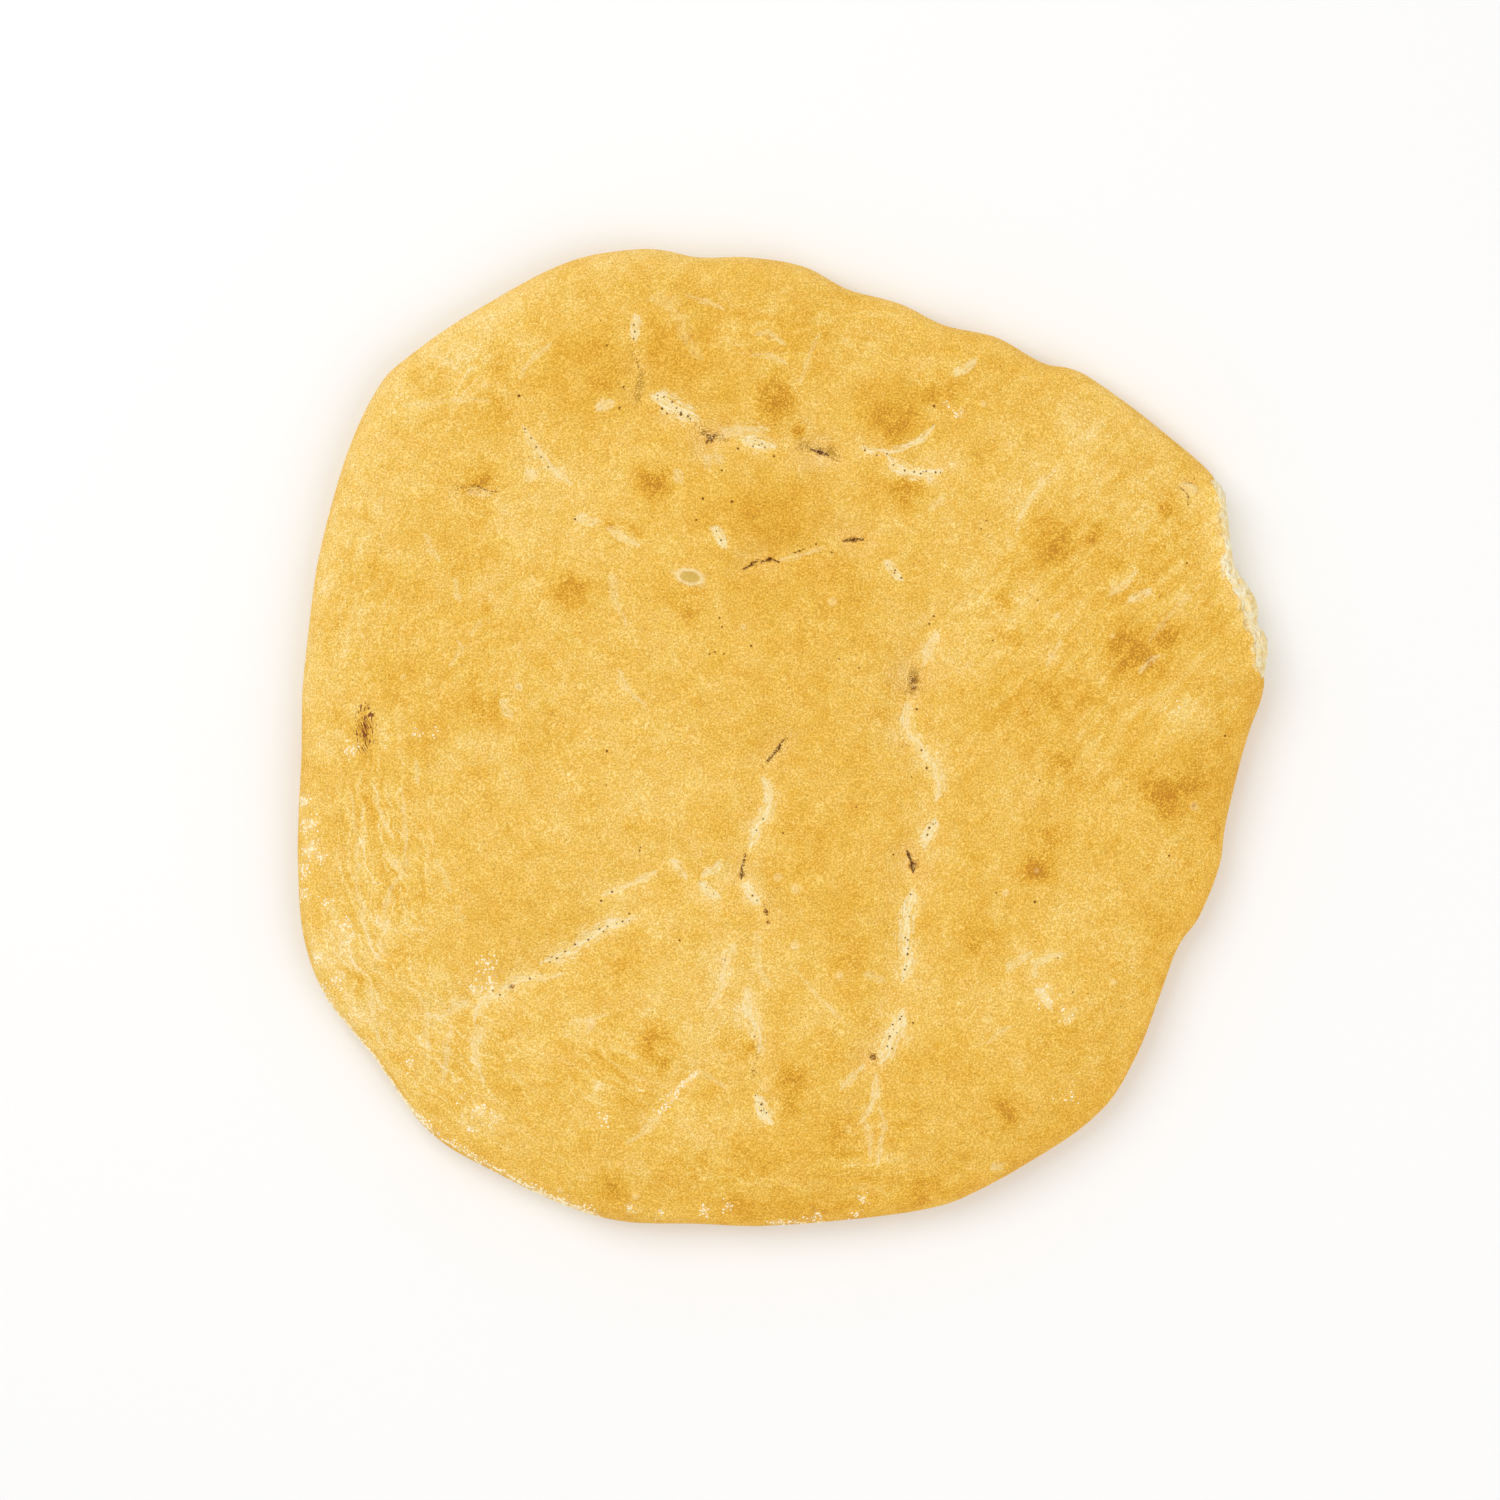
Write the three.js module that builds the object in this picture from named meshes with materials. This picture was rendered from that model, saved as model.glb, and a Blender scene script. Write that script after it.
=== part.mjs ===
import * as THREE from 'three';

// A round, hand-stretched pizza bread: one flat loaf, puffed into low domes between pale stretch
// creases, with a rounded rim and a strip torn off its right-hand edge.
// It lies on its flat baked base, at Z = 0. X runs to the right, Y to the back, Z up.

// Driving dimensions, in millimetres.
const SIDE_HEIGHT = 9; // height at which the rim bulges out furthest
const CROWN_HEIGHT = 21; // height of the middle, before domes and creases
const SHOULDER_WIDTH = 28; // how far inwards the rim's rounding reaches
const SHOULDER_POWER = 2.2; // 2 is an ellipse, more is fuller
const BASE_INSET = 7; // the flat base ends this far inside the outline
const LIP_INSET = 1.6; // the top's mesh ends this far inside the outline
const TEAR_START = 6; // degrees from +X, counter-clockwise
const TEAR_END = 32;
const TEAR_FADE = 2.5; // degrees over which the rim turns into the torn face
const TEAR_LIP_INSET = 3.2; // the crust's torn edge, at the narrow part of the crumb face
const TEAR_BULGE = 3; // how much further the crumb sticks out where it is widest
const TEAR_BULGE_ANGLE = 15;
const TEAR_BULGE_SPREAD = 5;
const TEAR_STEP = 8; // the torn strip had this much of the rim's rounding on it
const SECTORS = 6; // each ring of the top's mesh has this many more points than the one inside it
const TOP_RINGS = 36;
const RIM_SAMPLES = SECTORS * TOP_RINGS;
const CURVE_STEPS = RIM_SAMPLES * 10; // for measuring along the outline
const RING_CROWDING = 1.06; // above 1, the rings lie closer together near the rim

// The outline seen from above, clockwise from the back.
const OUTLINE = [
  [-43, 147.5], [-25, 145], [-10, 145], [6.5, 142], [20, 135], [35, 131], [48.5, 124.5], [65, 120.5],
  [78.5, 113], [92, 109], [119, 89], [131.5, 77], [134, 70], [136, 53.5], [143.5, 40.5], [143.5, 34.5],
  [146.5, 28], [144.5, 12], [140.5, 0.5], [134, -25], [132, -38.5], [126, -54], [118.5, -65.5],
  [106.5, -97], [92, -116.5], [59, -137], [38, -143.5], [-1, -147.5], [-25, -147], [-55, -145],
  [-88, -131], [-107.5, -118.5], [-123, -97], [-137.5, -79], [-144.5, -61], [-146.5, -37],
  [-145.5, -7], [-144.5, 20], [-138.5, 62], [-125, 101], [-109, 118], [-70, 141.5],
];

// Domes that the oven blew up: x, y, radius and rise.
const DOMES = [
  [-2, 112, 34, 2.2], [31, 94, 13, 1.8], [-3, 100, 9, 1], [-2, 68, 22, 2.4], [-45, 110, 20, 1.6],
  [-95, 72, 34, 1.4], [-39, 74, 12, 0.8], [79, 58, 16, 1.8], [106, 26, 18, 1.8], [118, -18, 15, 1.8],
  [77, -40, 13, 1.4], [66, -112, 18, 1.5], [2, -107, 15, 1.4], [-40, -94, 20, 1.3], [58, -63, 15, 1],
  [-88, 8, 26, 1.2], [-63, 43, 14, 0.8], [0, 22, 30, 1.6], [14, -60, 20, 1.6], [-70, -30, 24, 1.4],
  [66, 10, 22, 1.4], [-110, -55, 22, 1.2], [-64, -108, 20, 1.2], [96, -70, 18, 1], [60, 96, 24, 1.4],
];

// Creases where the dough was pressed and stretched thin: half-width, depth and route.
const CREASES = [
  { width: 5.5, depth: 1.6, route: [[-44.5, 126], [-44.5, 119], [-44, 112], [-44, 101]] },
  {
    width: 7, depth: 3.4,
    route: [[-40, 101.5], [-32, 98.5], [-24, 93.5], [-21, 90], [-10, 87], [4.5, 87], [16, 84]],
  },
  { width: 6, depth: 2.8, route: [[16, 84], [23, 86.5], [29, 84.5], [35, 81.5], [46, 79.5]] },
  { width: 6, depth: 2.4, route: [[-11, 51], [-8, 52.5], [-2, 53.5], [10, 58], [24, 59.5]] },
  { width: 5.5, depth: 1.4, route: [[-80, 96], [-76, 90], [-73, 83.5], [-66, 74]] },
  {
    width: 7, depth: 3.2,
    route: [[45, 32], [43, 24], [38.5, 17], [37, 8], [38, 1], [42.5, -4], [46, -14], [44, -30], [39.5, -38]],
  },
  {
    width: 7, depth: 3,
    route: [[39.5, -38], [37, -55], [37, -67], [36, -79], [32, -89], [27, -97], [28, -104], [25, -122]],
  },
  {
    width: 6, depth: 2.6,
    route: [[0, -1], [-6, -8], [-4, -14], [-4.5, -21], [-8, -27], [-12, -42], [-9, -47], [-5, -56]],
  },
  { width: 6, depth: 2, route: [[-11, -77], [-10, -84], [-7, -93], [-10, -104], [-4, -116]] },
  { width: 5.5, depth: 1.6, route: [[-16, -60], [-18.5, -68], [-18.5, -76]] },
  { width: 6, depth: 2, route: [[-12, -42], [-19, -47.5], [-26, -43], [-34.5, -37]] },
  { width: 6, depth: 1.8, route: [[-34.5, -37], [-43, -43], [-51, -46.5], [-56, -49.5]] },
  {
    width: 7, depth: 2.6,
    route: [[-46, -53.5], [-55, -57.5], [-61, -63.5], [-79, -74], [-86, -77], [-94, -81.5], [-106, -85.5]],
  },
  { width: 5.5, depth: 1.6, route: [[-91, -81.5], [-94, -92.5], [-100, -104]] },
  { width: 5.5, depth: 1.4, route: [[-25, -101], [-33, -107], [-40, -116]] },
  { width: 5.5, depth: 1, route: [[80, 80], [75, 74], [71, 67]] },
];

// Deep finger dimples, most of them in the creases: x, y, radius and depth.
const DIMPLES = [
  [-21.5, 90, 5.5, 2.8], [10.5, 85.5, 5.5, 2.8], [-7, 52.5, 5.5, 2.4], [21, 59.5, 5.5, 2.4],
  [38.5, 17, 6, 3], [39, -38, 6, 3], [27, -97, 5.5, 2.2], [-2.5, -4.5, 5.5, 2],
  [-12.5, -42, 5.5, 2.2], [-44, 108, 5.5, 1.8], [-5, -52, 5.5, 1.5], [-91, 75, 6, 1],
];

// Slow waves left by stretching the dough by hand: wavelength, direction, phase and height.
const WAVES = [
  { length: 118, angle: 0.4, phase: 1.1, height: 0.7 },
  { length: 83, angle: 1.9, phase: 4.2, height: 0.5 },
  { length: 57, angle: 2.7, phase: 2.3, height: 0.35 },
  { length: 41, angle: 1.1, phase: 0.6, height: 0.25 },
];

// Waves round the torn edge: how many in a full turn, phase and height.
const TEAR_WAVES = [
  { count: 41, phase: 0.7, height: 0.5 },
  { count: 67, phase: 2.9, height: 0.35 },
];

// The rest of the side, from the top's last ring down to the base: inset and height.
const ROUND_SIDE = [[0.35, 11.4], [0, SIDE_HEIGHT], [0.95, 4.5], [3.4, 1.2], [BASE_INSET, 0]];
// On the torn face: share of the lip's inset, and height.
const TORN_SIDE = [[0.5, 17.6], [0.2, 15.2], [0, 10.5], [0.2, 4], [0.8, 0]];

// The gap between a point and the nearest part of a route.
function distanceToRoute(x, y, route) {
  let nearest = Infinity;
  for (let i = 1; i < route.length; i += 1) {
    const [ax, ay] = route[i - 1];
    const [bx, by] = route[i];
    const along = ((x - ax) * (bx - ax) + (y - ay) * (by - ay)) / ((bx - ax) ** 2 + (by - ay) ** 2);
    const share = THREE.MathUtils.clamp(along, 0, 1);
    const gap = Math.hypot(x - ax - share * (bx - ax), y - ay - share * (by - ay));
    nearest = Math.min(nearest, gap);
  }
  return nearest;
}

// A smooth hump that is 1 at its middle.
function hump(distance, radius) {
  return Math.exp(-((distance / radius) ** 2));
}

// How much the rim is torn in this direction from the middle, from 0 to 1.
function tornShare(x, y) {
  const angle = THREE.MathUtils.radToDeg(Math.atan2(y, x));
  const opening = THREE.MathUtils.smoothstep(angle, TEAR_START, TEAR_START + TEAR_FADE);
  const closing = THREE.MathUtils.smoothstep(angle, TEAR_END - TEAR_FADE, TEAR_END);
  return opening * (1 - closing);
}

// How far inside the outline the crust's torn edge lies.
function tearInset(x, y) {
  const angle = Math.atan2(y, x);
  const offset = THREE.MathUtils.radToDeg(angle) - TEAR_BULGE_ANGLE;
  let inset = TEAR_LIP_INSET + TEAR_BULGE * hump(offset, TEAR_BULGE_SPREAD);
  for (const wave of TEAR_WAVES) {
    inset += wave.height * Math.sin(wave.count * angle + wave.phase);
  }
  return inset;
}

// Domes, creases, dimples and slow waves, added to the crown's height.
function relief(x, y) {
  let height = 0;
  for (const [domeX, domeY, radius, rise] of DOMES) {
    height += rise * hump(Math.hypot(x - domeX, y - domeY), radius);
  }
  for (const wave of WAVES) {
    const along = x * Math.cos(wave.angle) + y * Math.sin(wave.angle);
    height += wave.height * Math.sin((along / wave.length) * 2 * Math.PI + wave.phase);
  }
  let deepest = 0;
  for (const crease of CREASES) {
    deepest = Math.max(deepest, crease.depth * hump(distanceToRoute(x, y, crease.route), crease.width));
  }
  height -= deepest;
  for (const [dimpleX, dimpleY, radius, depth] of DIMPLES) {
    height -= depth * hump(Math.hypot(x - dimpleX, y - dimpleY), radius);
  }
  return height;
}

// The top's height at a point that lies this far inside the outline.
function topHeight(x, y, inset) {
  const reach = Math.min(1, (inset + TEAR_STEP * tornShare(x, y)) / SHOULDER_WIDTH);
  const rounding = (1 - (1 - reach) ** SHOULDER_POWER) ** (1 / SHOULDER_POWER);
  return SIDE_HEIGHT + rounding * (CROWN_HEIGHT - SIDE_HEIGHT + relief(x, y));
}

// Points spread evenly along the outline, counter-clockwise.
function outlineSamples() {
  const points = OUTLINE.map(([x, y]) => new THREE.Vector3(x, y, 0)).reverse();
  const curve = new THREE.CatmullRomCurve3(points, true, 'catmullrom', 0.5);
  curve.arcLengthDivisions = CURVE_STEPS;
  return curve.getSpacedPoints(RIM_SAMPLES).slice(0, RIM_SAMPLES);
}

// The outline's point a given share of the way round, between its samples.
function pointAt(samples, share) {
  const place = share * samples.length;
  const before = Math.floor(place) % samples.length;
  const after = (before + 1) % samples.length;
  return samples[before].clone().lerp(samples[after], place - Math.floor(place));
}

// The top: rings of points from the middle out to the lip, with triangles between them.
function addTop(vertices, triangles, samples) {
  vertices.push(0, 0, topHeight(0, 0, SHOULDER_WIDTH));
  const ringStart = [0];
  for (let ring = 1; ring <= TOP_RINGS; ring += 1) {
    ringStart.push(vertices.length / 3);
    const reach = 1 - (1 - ring / TOP_RINGS) ** RING_CROWDING;
    for (let step = 0; step < ring * SECTORS; step += 1) {
      const rim = pointAt(samples, step / (ring * SECTORS));
      const radius = rim.length();
      const torn = tornShare(rim.x, rim.y);
      const lip = radius - THREE.MathUtils.lerp(LIP_INSET, tearInset(rim.x, rim.y), torn);
      const x = (rim.x / radius) * lip * reach;
      const y = (rim.y / radius) * lip * reach;
      vertices.push(x, y, topHeight(x, y, radius - lip * reach));
    }
  }
  for (let ring = 1; ring <= TOP_RINGS; ring += 1) {
    const outerCount = ring * SECTORS;
    const innerCount = Math.max(1, (ring - 1) * SECTORS);
    for (let sector = 0; sector < SECTORS; sector += 1) {
      for (let step = 0; step < ring; step += 1) {
        const outer = sector * ring + step;
        const inner = sector * (ring - 1) + step;
        const a = ringStart[ring] + outer;
        const b = ringStart[ring] + ((outer + 1) % outerCount);
        const c = ringStart[ring - 1] + (inner % innerCount);
        triangles.push(a, b, c);
        if (step < ring - 1) {
          triangles.push(c, b, ringStart[ring - 1] + ((inner + 1) % innerCount));
        }
      }
    }
  }
  return ringStart[TOP_RINGS];
}

// The side, from the lip over the rim or down the torn face, and the flat base.
function addSideAndBase(vertices, triangles, samples, topRimStart) {
  let upperStart = topRimStart;
  for (let row = 0; row < ROUND_SIDE.length; row += 1) {
    const lowerStart = vertices.length / 3;
    for (const rim of samples) {
      const torn = tornShare(rim.x, rim.y);
      const tornInset = TORN_SIDE[row][0] * tearInset(rim.x, rim.y);
      const inset = THREE.MathUtils.lerp(ROUND_SIDE[row][0], tornInset, torn);
      const height = THREE.MathUtils.lerp(ROUND_SIDE[row][1], TORN_SIDE[row][1], torn);
      const scale = 1 - inset / rim.length();
      vertices.push(rim.x * scale, rim.y * scale, height);
    }
    for (let i = 0; i < RIM_SAMPLES; i += 1) {
      const next = (i + 1) % RIM_SAMPLES;
      triangles.push(lowerStart + i, lowerStart + next, upperStart + i);
      triangles.push(upperStart + i, lowerStart + next, upperStart + next);
    }
    upperStart = lowerStart;
  }
  const middle = vertices.length / 3;
  vertices.push(0, 0, 0);
  for (let i = 0; i < RIM_SAMPLES; i += 1) {
    triangles.push(middle, upperStart + ((i + 1) % RIM_SAMPLES), upperStart + i);
  }
}

function breadGeometry() {
  const vertices = [];
  const triangles = [];
  const samples = outlineSamples();
  const topRimStart = addTop(vertices, triangles, samples);
  addSideAndBase(vertices, triangles, samples, topRimStart);
  const geometry = new THREE.BufferGeometry();
  geometry.setAttribute('position', new THREE.Float32BufferAttribute(vertices, 3));
  geometry.setIndex(triangles);
  geometry.computeVertexNormals();
  return geometry;
}

const bakedCrust = new THREE.MeshStandardMaterial({ color: 0xedbf60, roughness: 0.75, metalness: 0 });

const bread = new THREE.Mesh(breadGeometry(), bakedCrust);
bread.name = 'pizza_bread';

const group = new THREE.Group();
group.add(bread);

export default group;
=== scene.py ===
"""A round, hand-stretched pizza bread, seen from straight above on a plain pale floor.

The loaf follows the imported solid's outline, rim, torn face, domes and creases. The finer relief and the
baked colours are worked out here from the loaf's own marks: browned domes, pale stretched streaks, dark
cracks, pinholes, scars and flour, each a named place and size in millimetres.
"""
import math

import bmesh
import bpy
import numpy as np
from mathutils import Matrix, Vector, noise


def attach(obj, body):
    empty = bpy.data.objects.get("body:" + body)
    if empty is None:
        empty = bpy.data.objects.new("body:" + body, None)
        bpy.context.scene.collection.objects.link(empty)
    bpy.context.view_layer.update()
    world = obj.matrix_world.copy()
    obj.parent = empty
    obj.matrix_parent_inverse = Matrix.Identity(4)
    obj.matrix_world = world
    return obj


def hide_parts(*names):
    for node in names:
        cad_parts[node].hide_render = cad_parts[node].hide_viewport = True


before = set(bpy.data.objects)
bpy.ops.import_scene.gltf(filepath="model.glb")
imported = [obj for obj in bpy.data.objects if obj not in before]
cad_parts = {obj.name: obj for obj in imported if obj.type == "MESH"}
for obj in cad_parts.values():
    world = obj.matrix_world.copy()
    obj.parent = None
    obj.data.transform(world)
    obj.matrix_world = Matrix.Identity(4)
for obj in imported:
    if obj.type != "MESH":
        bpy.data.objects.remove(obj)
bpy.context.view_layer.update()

# ------------------------------------------------------------------------------------------------
# The loaf
#
# One flat round of dough, pressed out by hand and baked: it puffs into low domes between the creases
# where it was stretched thin. Its rim is rounded, its base is flat, and a strip is torn off its right
# side. Sizes are in millimetres, in the solid's own frame, and the mesh is made in metres.
# ------------------------------------------------------------------------------------------------
MM = 0.001
# The rounded rim: its widest line's height, the crown's, and how the shoulder rises between them.
SIDE_HEIGHT = 9.0
CROWN_HEIGHT = 21.0
SHOULDER_WIDTH = 28.0
SHOULDER_POWER = 2.2
BASE_INSET = 7.0
LIP_INSET = 1.6
# The tear: its reach round the rim in degrees from +X, how far its lip is set in and bulges, how much of
# the shoulder it takes, and the least distance from the middle that it lies at.
TEAR_START = 6.0
TEAR_END = 32.0
TEAR_FADE = 2.5
TEAR_LIP_INSET = 3.2
TEAR_BULGE = 3.0
TEAR_BULGE_ANGLE = 15.0
TEAR_BULGE_SPREAD = 5.0
TEAR_STEP = 8.0
TEAR_REGION = 120.0
# The mesh: rings of the top in sectors, rows of the side, and rings of the base.
SECTORS = 6
TOP_RINGS = 92
RIM_POINTS = SECTORS * TOP_RINGS
RING_CROWDING = 1.06
SIDE_ROWS = 18
BASE_RINGS = 4
CURVE_STEPS = 80

OUTLINE = [
    (-43, 147.5), (-25, 145), (-10, 145), (6.5, 142), (20, 135), (35, 131), (48.5, 124.5), (65, 120.5),
    (78.5, 113), (92, 109), (119, 89), (131.5, 77), (134, 70), (136, 53.5), (143.5, 40.5), (143.5, 34.5),
    (146.5, 28), (144.5, 12), (140.5, 0.5), (134, -25), (132, -38.5), (126, -54), (118.5, -65.5),
    (106.5, -97), (92, -116.5), (59, -137), (38, -143.5), (-1, -147.5), (-25, -147), (-55, -145),
    (-88, -131), (-107.5, -118.5), (-123, -97), (-137.5, -79), (-144.5, -61), (-146.5, -37),
    (-145.5, -7), (-144.5, 20), (-138.5, 62), (-125, 101), (-109, 118), (-70, 141.5),
]
# Domes: x, y, radius, rise.
DOMES = [
    (-2, 112, 34, 2.2), (31, 94, 13, 1.8), (-3, 100, 9, 1), (-2, 68, 22, 2.4), (-45, 110, 20, 1.6),
    (-95, 72, 34, 1.4), (-39, 74, 12, 0.8), (79, 58, 16, 1.8), (106, 26, 18, 1.8), (118, -18, 15, 1.8),
    (77, -40, 13, 1.4), (66, -112, 18, 1.5), (2, -107, 15, 1.4), (-40, -94, 20, 1.3), (58, -63, 15, 1),
    (-88, 8, 26, 1.2), (-63, 43, 14, 0.8), (0, 22, 30, 1.6), (14, -60, 20, 1.6), (-70, -30, 24, 1.4),
    (66, 10, 22, 1.4), (-110, -55, 22, 1.2), (-64, -108, 20, 1.2), (96, -70, 18, 1), (60, 96, 24, 1.4),
]
# Creases: half-width, depth, route.
CREASES = [
    (5.5, 1.6, [(-44.5, 126), (-44.5, 119), (-44, 112), (-44, 101)]),
    (7, 3.4, [(-40, 101.5), (-32, 98.5), (-24, 93.5), (-21, 90), (-10, 87), (4.5, 87), (16, 84)]),
    (6, 2.8, [(16, 84), (23, 86.5), (29, 84.5), (35, 81.5), (46, 79.5)]),
    (6, 2.4, [(-11, 51), (-8, 52.5), (-2, 53.5), (10, 58), (24, 59.5)]),
    (5.5, 1.4, [(-80, 96), (-76, 90), (-73, 83.5), (-66, 74)]),
    (7, 3.2, [(45, 32), (43, 24), (38.5, 17), (37, 8), (38, 1), (42.5, -4), (46, -14), (44, -30),
     (39.5, -38)]),
    (7, 3, [(39.5, -38), (37, -55), (37, -67), (36, -79), (32, -89), (27, -97), (28, -104),
     (25, -122)]),
    (6, 2.6, [(0, -1), (-6, -8), (-4, -14), (-4.5, -21), (-8, -27), (-12, -42), (-9, -47), (-5, -56)]),
    (6, 2, [(-11, -77), (-10, -84), (-7, -93), (-10, -104), (-4, -116)]),
    (5.5, 1.6, [(-16, -60), (-18.5, -68), (-18.5, -76)]),
    (6, 2, [(-12, -42), (-19, -47.5), (-26, -43), (-34.5, -37)]),
    (6, 1.8, [(-34.5, -37), (-43, -43), (-51, -46.5), (-56, -49.5)]),
    (7, 2.6, [(-46, -53.5), (-55, -57.5), (-61, -63.5), (-79, -74), (-86, -77), (-94, -81.5),
     (-106, -85.5)]),
    (5.5, 1.6, [(-91, -81.5), (-94, -92.5), (-100, -104)]),
    (5.5, 1.4, [(-25, -101), (-33, -107), (-40, -116)]), (5.5, 1, [(80, 80), (75, 74), (71, 67)]),
]
# Dimples: x, y, radius, depth.
DIMPLES = [
    (-21.5, 90, 5.5, 2.8), (10.5, 85.5, 5.5, 2.8), (-7, 52.5, 5.5, 2.4), (21, 59.5, 5.5, 2.4),
    (38.5, 17, 6, 3), (39, -38, 6, 3), (27, -97, 5.5, 2.2), (-2.5, -4.5, 5.5, 2),
    (-12.5, -42, 5.5, 2.2), (-44, 108, 5.5, 1.8), (-5, -52, 5.5, 1.5), (-91, 75, 6, 1),
]
# Slow waves of the stretched dough: wavelength, direction, phase, height.
WAVES = [(118, 0.4, 1.1, 0.7), (83, 1.9, 4.2, 0.5), (57, 2.7, 2.3, 0.35), (41, 1.1, 0.6, 0.25)]
# Waves of the torn edge: count in a full turn, phase, height.
TEAR_WAVES = [(41, 0.7, 0.5), (67, 2.9, 0.35), (163, 1.3, 0.3), (287, 4.0, 0.22)]
# Side rows below the lip: inset and height on the round rim, and share of the lip's inset and height on
# the tear.
ROUND_SIDE = [(0.35, 11.4), (0, SIDE_HEIGHT), (0.95, 4.5), (3.4, 1.2), (BASE_INSET, 0)]
TORN_SIDE = [(0.5, 17.6), (0.2, 15.2), (0, 10.5), (0.2, 4), (0.8, 0)]

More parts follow.
